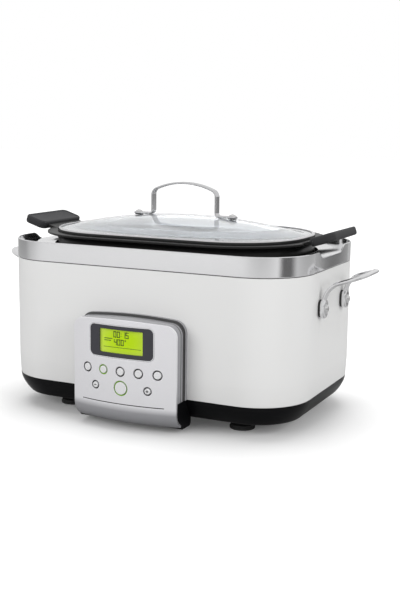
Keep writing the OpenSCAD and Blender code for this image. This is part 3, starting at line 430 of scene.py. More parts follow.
def plastic(name, colour, rough, grain=1400, depth=0.02, coat=0.0, mottle=0.06, shine=0.5):
    """Moulded plastic: fine grain in the gloss and in the surface, faint mottling in the colour."""
    finish = Finish(bpy.data.materials.new(name))
    lumps, fine = finish.grain(28), finish.grain(grain, 3.0)
    tint = finish.blend(lumps, tuple(c * (1 - mottle) for c in colour[:3]) + (1,), colour)
    return finish.skin(tint, fine * 0.08 + (rough - 0.04), Coat_Weight=coat, Coat_Roughness=0.08,
                       Specular_IOR_Level=shine, Normal=finish.relief(fine, depth))


shell_low, shell_high = span("outer_shell")
body_length, body_depth, body_corner = shell_high.x - shell_low.x, shell_high.y - shell_low.y, 64
shell_bottom, shell_top = shell_low.z, shell_high.z
tray_wall = 2.5
tray_low, tray_floor = 14.5, 17
foot_radius, foot_x, foot_y, pad_height = 16.5, 113, 75, 3
post_foot, column_x, column_y, column_top = 16, 110.5, 62, 78
board_x, board_y, board_half, board_top = 54, -66, 25, 27
vent_half, vent_first, vent_pitch, vent_rows_apart = (30, 1.75), (-52, 3), 9, 104


def body_ring(inset, z):
    """The body's outline drawn in by an inset, at a height."""
    return rounded_rectangle(body_length - 2 * inset, body_depth - 2 * inset, body_corner - inset, z)


skirt = [(1, shell_bottom), (1.3, 34.5), (2.2, 31), (3.7, 27.8), (5.8, 24), (8, 20.8), (10.2, 18), (12, 16),
         (13.2, 15), (14.6, tray_low)]
tray_skins = [skinned(
    [body_ring(inset, z) for inset, z in reversed(skirt)]
    + [body_ring(1 + tray_wall, shell_bottom)]
    + [body_ring(inset + tray_wall, max(z, tray_floor)) for inset, z in skirt[1:-1]]
)]
tray_skins.append(skinned(
    [body_ring(inset, z) for inset, z in ((1.3, 36.5), (1.3, 43.5), (3.3, 43.5), (3.3, 36.5))], loop=True))
for sign_x in (-1, 1):
    for sign_y in (-1, 1):
        here = Matrix.Translation((sign_x * foot_x, sign_y * foot_y, 0))
        tray_skins.append(turned(softened([
            (0, tray_floor - 1, 0), (foot_radius, tray_floor - 1, 0), (foot_radius, pad_height, 1.2),
            (foot_radius - 3, pad_height, 0.4), (foot_radius - 3, 5, 0), (0, 5, 0)], loop=False), 48, here))
        here = Matrix.Translation((sign_x * column_x, sign_y * column_y, 0))
        tray_skins.append(turned([(2.3, post_foot), (4.5, post_foot), (4.5, column_top), (2.3, column_top)],
                                 24, here))
        here = Matrix.Translation((sign_x * board_x, board_y + sign_y * board_half, 0))
        tray_skins.append(turned([(1.3, post_foot), (3.5, post_foot), (3.5, board_top), (1.3, board_top)],
                                 20, here))
tray = made("tray_moulding", *tray_skins)
slot = made("vent_slot", block((-vent_half[0], -vent_half[1], 8), (vent_half[0], vent_half[1], 24)))
set_out(slot, 7, (*vent_first, 0), (0, vent_pitch, 0), None)
set_out(slot, 2, (0, 0, 0), (vent_rows_apart, 0, 0), None)
vents = tray.modifiers.new("vents", "BOOLEAN")
vents.operation, vents.solver, vents.object = "DIFFERENCE", "EXACT", slot
settled(tray)
bpy.data.objects.remove(slot)
gloss_black = plastic("gloss_black", shade(0.004, 0.004, 0.0045), 0.3, 900, 0.01, shine=0.1)
fitted(tray, gloss_black, "housing", "black_plastic", "base_tray")

# ---- Rubber feet -----------------------------------------------------------
# Four soft black pads with a grip ring, pressed into the cup feet of the tray. The whole
# cooker stands on them.

rubber = plastic("foot_rubber", shade(0.022), 0.75, 2600, 0.04)
pad = made("rubber_pads", turned(softened([
    (0, 5, 0), (13.4, 5, 0.2), (13.4, 3, 0), (14.5, 3, 0.3), (14.5, 0, 0.9), (11.5, 0, 0.4), (11.2, 0.7, 0.3),
    (9.4, 0.7, 0.3), (9.1, 0, 0.4), (0, 0, 0)], loop=False), 48))
set_out(pad, 2, (-foot_x, -foot_y, 0), (2 * foot_x, 0, 0), rubber)
set_out(pad, 2, (0, 0, 0), (0, 2 * foot_y, 0), rubber)
fitted(pad, rubber, "housing", "foot_rubber", "rubber_feet")

# ---- Enamelled shell -------------------------------------------------------
# The white wrapper: one sheet of steel drawn to a rounded oblong, stove-enamelled satin
# white, with its edges rolled in. It is clamped between the tray and the rim.

shell_sheet, shell_draw, draw_height = 1.2, 1.0, 22
shell_profile = softened([
    (shell_draw, shell_bottom, 0.5), (0.0, shell_bottom + draw_height, 40), (0.0, shell_top, 1.0),
    (shell_sheet, shell_top, 0.1), (shell_sheet, shell_bottom + draw_height, 0),
    (shell_draw + shell_sheet, shell_bottom, 0.3)])
shell = made("shell_enamelled", skinned([body_ring(inset, z) for inset, z in shell_profile], loop=True))
side_turn = Matrix.Rotation(math.radians(90), 4, "Y")
front_turn = Matrix.Rotation(math.radians(90), 4, "X")
handle_pitch, handle_z = 76, 138
gland_low, gland_high = span("cord_gland")
gland_x, gland_z = (gland_low.x + gland_high.x) / 2, (gland_low.z + gland_high.z) / 2
screw_hole, gland_hole, port_half, port_low, port_high = 2.8, 7.1, 25, 44, 68


def punch(radius, sides, place):
    """Short round cutter through the shell's wall."""
    return turned([(0, -8), (radius, -8), (radius, 8), (0, 8)], sides, place)


shell_holes = [punch(screw_hole, 24, Matrix.Translation(
    (sign_x * body_length / 2, sign_y * handle_pitch / 2, handle_z)) @ side_turn)
    for sign_x in (-1, 1) for sign_y in (-1, 1)]
shell_holes.append(punch(gland_hole, 32, Matrix.Translation((gland_x, body_depth / 2, gland_z)) @ front_turn))
shell_holes.append(block((-port_half, -body_depth / 2 - 5, port_low),
                         (port_half, -body_depth / 2 + 5, port_high)))
drilled(shell, *shell_holes)

enamel = Finish(bpy.data.materials.new("white_enamel"))
peel, cloud = enamel.grain(420, 1.0), enamel.grain(9)
white_enamel = enamel.skin(
    enamel.blend(cloud, shade(0.71, 0.71, 0.705), shade(0.735, 0.735, 0.73)), cloud * 0.05 + 0.34,
    Coat_Weight=0.25, Coat_Roughness=0.16, Normal=enamel.relief(peel, 0.012))
fitted(shell, white_enamel, "housing", "white_enamel", "outer_shell")

# ---- Steel rim -------------------------------------------------------------
# A polished stainless ring that caps the shell. Its wall rolls over at the top and steps
# down to a deck round the well; both ends dip in a finger notch under the pot's grips.


def metal(name, colour, rough, stretch=(1, 1, 1), scale=300, spread=0.1, depth=0.0):
    """Bare metal whose polish leaves faint streaks along an axis."""
    finish = Finish(bpy.data.materials.new(name))
    streak = finish.grain(scale, 3.0, stretch)
    more = {"Normal": finish.relief(streak, depth)} if depth else {}
    return finish.skin(finish.blend(streak, tuple(c * 0.95 for c in colour[:3]) + (1,), colour),
                       streak * spread + (rough - spread / 2), Metallic=1.0, **more)


rim_bottom, rim_top = shell_top + 0.8, span("rim_band")[1].z
rim_wall, deck_height, deck_sheet = 1.6, rim_top - 8, 1.6
notch_flat, notch_run = 58, 18
pot_length, pot_depth, pot_corner = 313, 193, 84


def pot_ring(grow, z):
    """The pot's wall outline grown by a distance, at a height."""
    return rounded_rectangle(pot_length + 2 * grow, pot_depth + 2 * grow, pot_corner + grow, z)


def notched(ring, floor=None):
    """Lowers the part of a rim ring that lies in the end notches, but never below a floor."""
    for point in ring:
        ramp = min(1, max(0, (abs(point.y) - notch_flat / 2) / notch_run))
        if abs(point.x) > body_length / 2 - 3:
            point.z -= (rim_top - deck_height) * (1 - ramp * ramp * (3 - 2 * ramp))
            if floor is not None:
                point.z = max(point.z, floor)
    return ring


rim_edge = softened([(0, rim_bottom + 6, 0), (0, rim_top, 0.75), (rim_wall, rim_top, 0.75),
                     (rim_wall, rim_top - 6, 0)], steps=5, loop=False)[1:-1]
half_edge = len(rim_edge) // 2
rim_rings = [body_ring(1.3, rim_bottom - 6), body_ring(1.3, rim_bottom), body_ring(0.25, rim_bottom),
             body_ring(0, rim_bottom + 0.3), body_ring(0, rim_bottom + 0.8), body_ring(0, deck_height - 1.5),
             notched(body_ring(0, rim_top - 1.6)), notched(body_ring(0, rim_top - 0.9))]
rim_rings += [notched(body_ring(inset, z)) for inset, z in rim_edge[:half_edge]]
rim_rings += [notched(body_ring(inset, z), deck_height) for inset, z in rim_edge[half_edge:]]
deck_under, well_gap, rim_tuck = deck_height - deck_sheet, 4, 2.9
rim_rings += [body_ring(rim_wall, deck_height + 0.01), body_ring(rim_wall + 0.6, deck_height),
              pot_ring(well_gap + 0.6, deck_height), pot_ring(well_gap + 0.15, deck_height - 0.25),
              pot_ring(well_gap, deck_under), body_ring(rim_wall, deck_under),
              body_ring(rim_wall, rim_bottom + 2), body_ring(rim_tuck, rim_bottom + 2),
              body_ring(rim_tuck, rim_bottom - 6)]
rim = made("rim_polished", skinned(rim_rings, loop=True))
polished_steel = metal("polished_steel", shade(0.80, 0.80, 0.81), 0.1, (1, 1, 14), 90, 0.04)
fitted(rim, polished_steel, "housing", "polished_steel", "rim_band", crease=50)
gasket = made("rim_gasket", skinned([body_ring(inset, z) for inset, z in (
    (0.7, shell_top), (0.7, rim_bottom), (2.4, rim_bottom), (2.4, shell_top))], loop=True))
fitted(gasket, rubber, "housing", "foot_rubber")

# ---- Well, blanket and heater ----------------------------------------------
# The aluminised well hangs below the rim in its glass-fibre blanket. A cast heater plate
# with a sheathed element is studded to its floor, over a fuse. The sensor cap stands in the
# middle on a coil spring.


def dressed(finish, *names):
    """Gives frame nodes that stay as they are their finish."""
    for name in names:
        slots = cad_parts[name].data.materials
        slots.clear()
        slots.append(finish)


dressed(metal("satin_steel", shade(0.62), 0.36, (1, 1, 6), 160, 0.16, 0.01), "well_liner", "sensor_bracket")
plated_steel = metal("plated_steel", shade(0.70, 0.70, 0.68), 0.28, (1, 1, 1), 500, 0.12)
dressed(plated_steel, "tie_screws", "tie_nuts", "heater_studs", "board_screws", "handle_nuts", "pod_screws")
dressed(metal("heater_alloy", shade(0.55, 0.55, 0.57), 0.5, (1, 1, 1), 700, 0.2, 0.06),
        "heater_plate", "sensor_cap")
spring_low, spring_high = span("sensor_spring")
wire, wire_sides, turn_steps, spring_steps, sensor_travel = 0.5, 10, 14, 84, 2.5
coil_radius, spring_height = spring_high.x - wire, spring_high.z - spring_low.z
coil_rings = []
for k in range(spring_steps + 1):
    turn = math.tau * k / turn_steps
    rise = spring_low.z + wire + (spring_height - 2 * wire) * k / spring_steps
    section = [(coil_radius + wire * math.cos(a), rise + wire * math.sin(a))
               for a in (math.tau * side / wire_sides for side in range(wire_sides))]
    coil_rings.append([Vector((out * math.cos(turn), out * math.sin(turn), z)) for out, z in section])
coil = made("sensor_coil", skinned(coil_rings))
fitted(coil, plated_steel, "housing", "satin_steel", "sensor_spring")
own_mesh(coil)
dressed(metal("element_sheath", shade(0.24, 0.22, 0.20), 0.45, (1, 1, 1), 260, 0.2, 0.02), "heating_element")
dressed(plastic("bush_ceramic", shade(0.80, 0.77, 0.70), 0.4, 1200, 0.02), "element_bushes", "thermal_fuse")
fibre = Finish(bpy.data.materials.new("blanket_fibre"))
strands = fibre.grain(260, 6.0, (1, 1, 5))
dressed(fibre.skin(fibre.blend(strands, shade(0.62, 0.57, 0.42), shade(0.84, 0.80, 0.66)), 0.9,
                   Normal=fibre.relief(strands, 0.8)), "insulation_wrap")

# ---- Power electronics -----------------------------------------------------
# A glass-epoxy board on four posts in the tray: relay, transformer, three capacitors and a
# terminal block, with silicone leads to the element and a flat cable to the control board.

circuit = Finish(bpy.data.materials.new("board_green"))
lands = circuit.node("ShaderNodeTexBrick", {}, {
    "Vector": circuit.place(), "Scale": 220.0, "Mortar Size": 0.03,
    "Color1": shade(0.012, 0.11, 0.045), "Color2": shade(0.014, 0.135, 0.055),
    "Mortar": shade(0.03, 0.20, 0.08)})
dressed(circuit.skin(lands, 0.3, Normal=circuit.relief(circuit.grain(900), 0.02)),
        "power_board", "control_board")
dressed(plastic("relay_blue", shade(0.02, 0.05, 0.30), 0.35), "relay")
core = Finish(bpy.data.materials.new("transformer_core"))
sheets = core.node("ShaderNodeTexWave", {"bands_direction": "Z"},
                   {"Vector": core.place(), "Scale": 260.0, "Distortion": 0.4}, "Fac")
dressed(core.skin(core.blend(sheets, shade(0.10, 0.06, 0.03), shade(0.34, 0.19, 0.09)), 0.45,
                  Metallic=0.5, Normal=core.relief(sheets, 0.1)), "transformer")
dressed(plastic("capacitor_sleeve", shade(0.02, 0.02, 0.06), 0.25, 500, 0.01, coat=0.3), "capacitors")
dressed(plastic("terminal_green", shade(0.02, 0.20, 0.07), 0.45), "terminal_block")
dressed(plastic("lead_white", shade(0.70, 0.69, 0.64), 0.5, 700, 0.03), "element_leads")
dressed(plastic("lead_black", shade(0.02), 0.45, 700, 0.03), "mains_leads")
ribbon = Finish(bpy.data.materials.new("ribbon_grey"))
cores = ribbon.node("ShaderNodeTexWave", {"bands_direction": "X"},
                    {"Vector": ribbon.place(), "Scale": 250.0}, "Fac")
dressed(ribbon.skin(ribbon.blend(cores, shade(0.22), shade(0.44)), 0.5, Normal=ribbon.relief(cores, 0.3)),
        "control_ribbon")
dressed(plastic("switch_black", shade(0.02), 0.4), "tact_switches")

# ---- Cord gland ------------------------------------------------------------
# A ribbed black strain relief at the back, held by a hexagon nut inside the shell. The
# mains cord comes out of its bore.

gland_out = gland_high.y - body_depth / 2
ribs, cord_bore, collar_radius = 7, 4, 9.5
rib_pitch = (gland_out - 4.6) / ribs
gland_profile = [(cord_bore, -12), (7, -12), (7, 0), (collar_radius - 0.3, 0), (collar_radius, 0.3),
                 (collar_radius, 2.2), (collar_radius - 0.3, 2.5), (7.6, 2.5)]
for rib in range(ribs):
    start, radius = 3.4 + rib * rib_pitch, 7.4 - 1.6 * rib / ribs
    gland_profile += [(radius - 0.9, start), (radius - 0.1, start + 0.4), (radius, start + 0.8),
                      (radius - 0.15, start + rib_pitch - 1.5), (radius - 0.9, start + rib_pitch - 0.9)]
gland_profile += [(5.5, gland_out - 0.3), (5.2, gland_out), (4.3, gland_out), (cord_bore, gland_out - 0.4)]
back_turn = Matrix.Rotation(math.radians(-90), 4, "X")
gland_place = Matrix.Translation((gland_x, body_depth / 2, gland_z)) @ back_turn
gland = made("gland_ribbed", turned(gland_profile, 48, gland_place),
             turned([(7.05, -6.2), (collar_radius, -6.2), (collar_radius, -1.3), (7.05, -1.3)], 6,
                    gland_place))
satin_black = plastic("satin_black", shade(0.014), 0.42, 1500, 0.03)
fitted(gland, satin_black, "housing", "dark_plastic", "cord_gland")

# ---- Side handles ----------------------------------------------------------
# Cast and polished loops, one at each end. Two pads stand on dark spacers and are screwed
# through the shell; the arms rise from the pads, lean out and close in a round-cornered bar.

spacer_thick, pad_thick, pad_wide, pad_tall = 2.5, 5.5, 15, 22
bar_wide, bar_thick, rise_radius, loop_bend = 9, 5, 25, 21
lean, handle_reach = math.radians(18), 45.5
bar_x = body_length / 2 + spacer_thick + pad_thick / 2
arm_low = handle_z + pad_tall / 2 - 5
sweep = math.pi / 2 - lean
arm_reach = body_length / 2 + handle_reach - bar_x - rise_radius * (1 - math.cos(sweep))
loop_reach = arm_reach / math.cos(lean) - loop_bend
bend_steps = 12
half_path = [(Vector((bar_x, handle_pitch / 2, arm_low)), Vector((0, 1, 0)), Vector((1, 0, 0)))]
for k in range(1, bend_steps + 1):
    a = math.pi - sweep * k / bend_steps
    half_path.append((Vector((bar_x + rise_radius + rise_radius * math.cos(a), handle_pitch / 2,
                              arm_low + rise_radius * math.sin(a))),
                      Vector((0, 1, 0)), Vector((-math.cos(a), 0, -math.sin(a)))))
bend_start = half_path[-1][0]
out_way = Vector((math.cos(lean), 0, math.sin(lean)))
loop_normal = Vector((math.sin(lean), 0, -math.cos(lean)))
for k in range(bend_steps + 1):
    a = math.pi / 2 * k / bend_steps
    half_path.append((bend_start + out_way * (loop_reach + loop_bend * math.sin(a))
                      - Vector((0, loop_bend * (1 - math.cos(a)), 0)),
                      Vector((0, math.cos(a), 0)) + out_way * math.sin(a), loop_normal))
flip_y = Matrix.Scale(-1, 4, (0, 1, 0))
loop_path = half_path + [(flip_y @ p, flip_y @ wide, thick) for p, wide, thick in reversed(half_path)]


def flat_bar(path, wide, thick, sides=24):
    """Oval bar along a path of points, each with the way its width and its thickness lie."""
    turns = [math.tau * k / sides for k in range(sides)]
    return skinned([[point + broad * (math.cos(a) * wide / 2) + flat * (math.sin(a) * thick / 2)
                     for a in turns]
                    for point, broad, flat in path])


def pad_outline(inset):
    """Outline of a handle pad, drawn in by an inset."""
    return rounded_rectangle(pad_wide - 2 * inset, pad_tall - 2 * inset, pad_wide / 2 - inset - 0.01,
                             0, 10, 2, 6)


def handle_pad(sign_y):
    """Rounded upright pad that lies against the spacer."""
    rings = []
    for inset, out in ((0.8, 0), (0, 0.6), (0, pad_thick - 1.2), (0.5, pad_thick - 0.3), (1.5, pad_thick)):
        face_x, middle_y = body_length / 2 + spacer_thick + out, sign_y * handle_pitch / 2
        rings.append([Vector((face_x, middle_y + p.x, handle_z + p.y)) for p in pad_outline(inset)])
    return skinned(rings)


def turned_to(side_piece, sign_x):
    """Mirrors a right-hand piece for the left end."""
    if sign_x < 0:
        side_piece.data.transform(Matrix.Scale(-1, 4, (1, 0, 0)))
        side_piece.data.flip_normals()
    return side_piece


for side, sign_x in (("right", 1), ("left", -1)):
    loop = turned_to(made("handle_loop_" + side, flat_bar(loop_path, bar_wide, bar_thick),
                          handle_pad(-1), handle_pad(1)), sign_x)
    weld = loop.modifiers.new("weld", "REMESH")
    weld.mode, weld.voxel_size = "VOXEL", 0.6 * MM
    polish = loop.modifiers.new("polish", "SMOOTH")
    polish.factor, polish.iterations = 0.5, 8
    settled(loop)
    fitted(loop, polished_steel, "housing", "polished_steel", "side_handle_" + side, crease=60)

spacer_inset = 1
spacer_rings = [[Vector((out, p.x, p.y)) for p in pad_outline(spacer_inset + inset)]
                for inset, out in ((0.5, 0), (0, 0.5), (0, spacer_thick - 0.5), (0.5, spacer_thick))]
for side, sign_x in (("right", 1), ("left", -1)):
    spacer = turned_to(made("handle_spacers_" + side, skinned(spacer_rings)), sign_x)
    set_out(spacer, 2, (sign_x * body_length / 2, -handle_pitch / 2, handle_z), (0, handle_pitch, 0),
            satin_black)
    fitted(spacer, satin_black, "housing", "dark_plastic", "handle_spacers")

# ---- Handle screws ---------------------------------------------------------
# Plated machine screws with domed heads and a cross recess, through pad, spacer and shell
# into the nuts inside.

plated_screw = metal("plated_screw", shade(0.72), 0.22, (1, 1, 1), 600, 0.08)


def domed_screw(name, head, rise, shank, length):
    """Screw standing on its head's seat at z 0, with a cross recess in the dome."""
    dome = [(head * math.sin(a), rise * math.cos(a)) for a in (math.pi / 2 * k / 8 for k in range(9))]
    shaft = [(shank, 0), (shank, -length + 0.6), (shank - 0.6, -length), (0, -length)]
    screw = made(name, turned(dome + shaft, 32))
    arm, slit, slit_floor = head * 0.5, head * 0.13, rise * 0.45
    return drilled(screw, block((-arm, -slit, slit_floor), (arm, slit, rise + 1)),
                   block((-slit, -arm, slit_floor), (slit, arm, rise + 1)))


for side, sign_x in (("right", 1), ("left", -1)):
    screws = domed_screw("handle_screws_" + side, head=5, rise=2.4, shank=2.5, length=13)
    screws.data.transform(Matrix.Rotation(math.radians(90 * sign_x), 4, "Y"))
    seat = sign_x * (body_length / 2 + spacer_thick + pad_thick)
    set_out(screws, 2, (seat, -handle_pitch / 2, handle_z), (0, handle_pitch, 0), plated_screw)
    fitted(screws, plated_screw, "housing", "plated_steel", "handle_screws")

# ---- Control pod: surround and lower housing -------------------------------
# The pod stands on the shell's front. Its grey surround has a collar and two grooves where it
# meets the shell; dark strips in the grooves are painted shade. Its black lower housing fits round the skirt.

fascia_low, fascia_high = span("pod_fascia")
pod_wide, pod_bottom, pod_top = fascia_high.x - fascia_low.x, fascia_low.z, fascia_high.z
pod_front, pod_back = fascia_low.y, -body_depth / 2
bow_radius, fascia_thick, lip_roll = 242, 3, 20
pod_corner, low_corner = 13, 9


def bow_at(x, depth=0.0):
    """Where the bowed front, set back by a depth, lies at a distance across the pod."""
    return pod_front + bow_radius - math.sqrt((bow_radius - depth) ** 2 - x * x)


crown_arm, pod_side = 610, pod_wide / 2 - pod_corner
crown_drop = crown_arm - math.sqrt(crown_arm ** 2 - pod_side ** 2)
crown_turn = math.degrees(math.asin(pod_side / crown_arm))


def pod_top_line():
    """Top of the pod's outline from left to right: a centre, a direction and a reach for each point."""
    line = []
    corner_z = pod_top - pod_corner - crown_drop
    for x, z, reach, start, end, steps in (
        (-pod_side, corner_z, pod_corner, 180, 90 + crown_turn, 12),
        (0, pod_top - crown_arm - pod_corner, crown_arm + pod_corner, 90 + crown_turn, 90 - crown_turn, 24),
        (pod_side, corner_z, pod_corner, 90 - crown_turn, 0, 12),
    ):
        for k in range(steps + 1 if x > 0 else steps):
            a = math.radians(start + (end - start) * k / steps)
            line.append((x, z, math.cos(a), math.sin(a), reach))
    return line


arch = ([(-pod_side, shell_bottom, -1, 0, pod_corner)] + pod_top_line()
        + [(pod_side, shell_bottom, 1, 0, pod_corner)])
surround_sheet, collar_lift = 2.6, 1.5
surround_profile = softened([(out, pod_back - ahead, radius) for out, ahead, radius in (
    (0, 13.7, 0.2), (-0.9, 13.5, 0.1), (-0.9, 11.6, 0.1), (0, 11.3, 0.2), (0, 8.4, 0.2), (-1.0, 8.2, 0.1),
    (-1.0, 4.2, 0.1), (1.0, 4, 0.4), (1.0, 0, 0.2), (-surround_sheet, 0, 0))], steps=2, loop=False)
surround_rings, shade_strip_rings = [], [[], []]
# Sections of the two dark strips that are painted shade: they lie in the grooves and over the collar's front
# face.
shade_strip_sections = (((-1.4, 13.6), (-0.3, 13.6), (-0.3, 11.5), (-1.4, 11.5)),
                 ((-1.4, 6.9), (-0.4, 6.9), (-0.4, 4.3), (0.9, 4.3), (0.9, 3.6), (-1.4, 3.6)))


def round_the_pod(station, section):
    """A section of (outward, y) pairs set at a station of the arch; the collar stands higher on top."""
    x, z, nx, nz, reach = station
    lift = 1 + collar_lift * max(0, nz)
    places = [(reach + (out * lift if out > 0 else out), y) for out, y in section]
    return [Vector((x + nx * away, y, z + nz * away)) for away, y in places]


for station in arch:
    edge = bow_at(station[0] + station[2] * (station[4] - 1.3), fascia_thick + 0.1)
    front = [(-surround_sheet, edge), (-0.5, edge), (-0.1, edge + 0.15), (0, edge + 0.6)]
    surround_rings.append(round_the_pod(station, front + list(surround_profile)))
    for rings, section in zip(shade_strip_rings, shade_strip_sections):
        rings.append(round_the_pod(station, [(out, pod_back - ahead) for out, ahead in section]))
surround = made("surround_grey", skinned(surround_rings))
surround_grey = plastic("surround_grey", shade(0.27, 0.27, 0.285), 0.3, 1600, 0.015, coat=0.3)
fitted(surround, surround_grey, "housing", "grey_plastic", "pod_surround", crease=40)
# Dark strips standing for the shade in the grooves, painted shade rather than real seals.
shade_strips = made("surround_shade_strips", *(skinned(rings) for rings in shade_strip_rings))
surround_shade_dark = plastic("surround_shade_dark", shade(0.075), 0.3, 1600, 0.015, coat=0.3)
fitted(shade_strips, surround_shade_dark, "housing", "foot_rubber", crease=40)
dressed(gloss_black, "pod_base")

# ---- Control pod: fascia ---------------------------------------------------
# The silver front: a bowed ABS moulding in metallic lacquer, rolled under at the bottom, with
# the window, eight button holes and a fine groove, whose shade is painted by a black strip.
# The lip below the groove is painted darker as shade. Its four posts carry the control board.


def hole(x, z, radius, sides=48):
    """Round outline."""
    return [(x + radius * math.cos(math.tau * k / sides), z + radius * math.sin(math.tau * k / sides))
            for k in range(sides)]


def window(x0, x1, z0, z1, radius, steps=8):
    """Rectangular outline with round corners."""
    points = []
    for x, z, start in ((x1 - radius, z1 - radius, 0), (x0 + radius, z1 - radius, 90),
                        (x0 + radius, z0 + radius, 180), (x1 - radius, z0 + radius, 270)):
        for k in range(steps + 1):
            a = math.radians(start + 90 * k / steps)
            points.append((x + radius * math.cos(a), z + radius * math.sin(a)))
    return points


def pressed(name, outlines, thick, edge, setback, grid=2.0):
    """Plate with rounded edges on X-Z outlines, bent to the bowed front and its rolled lip."""
    curve = bpy.data.curves.new(name, "CURVE")
    curve.dimensions, curve.fill_mode = "2D", "BOTH"
    curve.extrude, curve.bevel_depth = (thick / 2 - edge) * MM, edge * MM
    curve.offset, curve.bevel_resolution = -edge * MM, 2
    for outline in outlines:
        spline = curve.splines.new("POLY")
        spline.points.add(len(outline) - 1)
        spline.use_cyclic_u = True
        for point, (x, z) in zip(spline.points, outline):
            point.co = (x * MM, z * MM, 0, 1)
    flat = bpy.data.objects.new(name + "_flat", curve)
    bpy.context.scene.collection.objects.link(flat)
    view = bpy.context.evaluated_depsgraph_get()
    mesh = bpy.data.meshes.new_from_object(flat.evaluated_get(view))
    bpy.data.objects.remove(flat)
    mesh.name = name
    build = bmesh.new()
    build.from_mesh(mesh)
    bmesh.ops.remove_doubles(build, verts=build.verts, dist=0.002 * MM)
    for axis in (0, 1):
        places = [v.co[axis] for v in build.verts]
        low, high = min(places), max(places)
        normal = Vector((1 - axis, axis, 0))
        for k in range(1, int((high - low) / (grid * MM)) + 1):
            bmesh.ops.bisect_plane(build, geom=build.verts[:] + build.edges[:] + build.faces[:],
                                   plane_co=normal * (low + k * grid * MM), plane_no=normal, dist=0.01 * MM)
    roll_start = pod_bottom + lip_roll
    for vert in build.verts:
        x, z, depth = vert.co.x / MM, vert.co.y / MM, setback + thick / 2 - vert.co.z / MM
        if z < roll_start:
            a = (roll_start - z) / lip_roll
            z = roll_start - (lip_roll - depth) * math.sin(a)
            depth = lip_roll - (lip_roll - depth) * math.cos(a)
        vert.co = Vector((x, bow_at(x, depth), z)) * MM
    bmesh.ops.recalc_face_normals(build, faces=build.faces)
    build.to_mesh(mesh)
    build.free()
    piece = bpy.data.objects.new(name, mesh)
    bpy.context.scene.collection.objects.link(piece)
    return piece


window_low, window_high = span("display_window")
window_half, window_z0, window_z1 = 39.5, window_low.z - 0.05, window_high.z + 0.05
window_corner, trim_wide = 5.5, 1.3
row_z, row_pitch, row_wide = 68.8, 22.15, 11.6
low_z, low_x, low_wide, start_x, start_wide = 50, 33, 10, 0.4, 17.4
BUTTONS = {f"button_{k}": ((k - 3) * row_pitch, row_z, row_wide) for k in range(1, 6)}
BUTTONS["button_minus"] = (-low_x, low_z, low_wide)
BUTTONS["button_start"] = (start_x, low_z, start_wide)
BUTTONS["button_plus"] = (low_x, low_z, low_wide)
lip_end = pod_bottom + lip_roll - lip_roll * math.pi / 2
plate_outline = [(x + nx * reach, z + nz * reach) for x, z, nx, nz, reach in reversed(pod_top_line())]
for x, start in ((-pod_wide / 2 + low_corner, 180), (pod_wide / 2 - low_corner, 270)):
    for k in range(13):
        a = math.radians(start + 90 * k / 12)
        plate_outline.append((x + low_corner * math.cos(a), lip_end + low_corner + low_corner * math.sin(a)))
holes = [hole(x, z, wide / 2) for x, z, wide in BUTTONS.values()]
grow = trim_wide + 0.05
holes.append(window(-window_half - grow, window_half + grow, window_z0 - grow, window_z1 + grow,
                    window_corner + grow))
groove_half, groove_z = 52, 32
holes.append(window(-groove_half, groove_half, groove_z - 0.5, groove_z + 0.5, 0.4, 3))
fascia = pressed("fascia_silver", [plate_outline] + holes, fascia_thick, 0.3, 0)
lacquer = Finish(bpy.data.materials.new("silver_lacquer"))
flake, drift = lacquer.grain(2600, 1.0), lacquer.grain(16)
# Below the groove the base colour is painted darker: painted shade where the rolled lip faces the table.
face_height = lacquer.node("ShaderNodeSeparateXYZ", {}, {"Vector": lacquer.place()}, 2)
lip_shade_share = lacquer.node("ShaderNodeMapRange", {}, {
    "Value": face_height, "From Min": (groove_z - 8) * MM, "From Max": (groove_z - 0.8) * MM})
flake_tone = lacquer.blend(flake, shade(0.78, 0.775, 0.80), shade(0.86, 0.855, 0.88))
silver_lacquer = lacquer.skin(
    lacquer.blend(lip_shade_share, shade(0.40, 0.40, 0.42), flake_tone), drift * 0.06 + 0.38,
    Metallic=0.55, Coat_Weight=0.2, Coat_Roughness=0.15, Normal=lacquer.relief(flake, 0.008))
fitted(fascia, silver_lacquer, "housing", "silver_plastic", "pod_fascia", crease=40)
# A black strip behind the groove's slot is painted shade that darkens the groove.
groove_shade_black = plastic("groove_shade_black", shade(0.02), 0.6)
groove = pressed("fascia_groove", [window(-groove_half - 0.4, groove_half + 0.4,
                                          groove_z - 0.8, groove_z + 0.8, 0.4, 3)], 1.0, 0.1, 0.5)
fitted(groove, groove_shade_black, "housing", "grey_plastic", crease=40)

# ---- Display ---------------------------------------------------------------
# A liquid-crystal module lit yellow-green stands on the control board, behind a smoked
# acrylic window with a clear opening and a bright trim. Plain figures show time and heat.

module_low, module_high = span("display_module")
fit_gap = 0.05
clear_x0, clear_x1, clear_z0, clear_z1 = max(-27, module_low.x + 0.5), 27.3, 88.9, 115.2
window_plate = pressed("window_smoked", [
    window(-window_half + fit_gap, window_half - fit_gap, window_z0 + fit_gap, window_z1 - fit_gap,
           window_corner),
    window(clear_x0, clear_x1, clear_z0, clear_z1, 1.2, 4)], 2.0, 0.3, 0.2)
smoked = Finish(bpy.data.materials.new("window_smoked"))
haze = smoked.grain(60)
window_black = smoked.skin(smoked.blend(haze, shade(0.043, 0.043, 0.050), shade(0.050, 0.050, 0.058)),
                           haze * 0.06 + 0.2, Specular_IOR_Level=0.22)
fitted(window_plate, window_black, "housing", "window_black", "display_window", crease=40)
trim = pressed("window_trim", [
    window(-window_half - trim_wide, window_half + trim_wide, window_z0 - trim_wide, window_z1 + trim_wide,
           window_corner + trim_wide),
    window(-window_half, window_half, window_z0, window_z1, window_corner)], 3.3, 0.5, -0.3)
trim_chrome = metal("trim_chrome", shade(0.85, 0.85, 0.87), 0.12, (1, 1, 1), 400, 0.04)
fitted(trim, trim_chrome, "housing", "trim_chrome", "display_trim", crease=50)

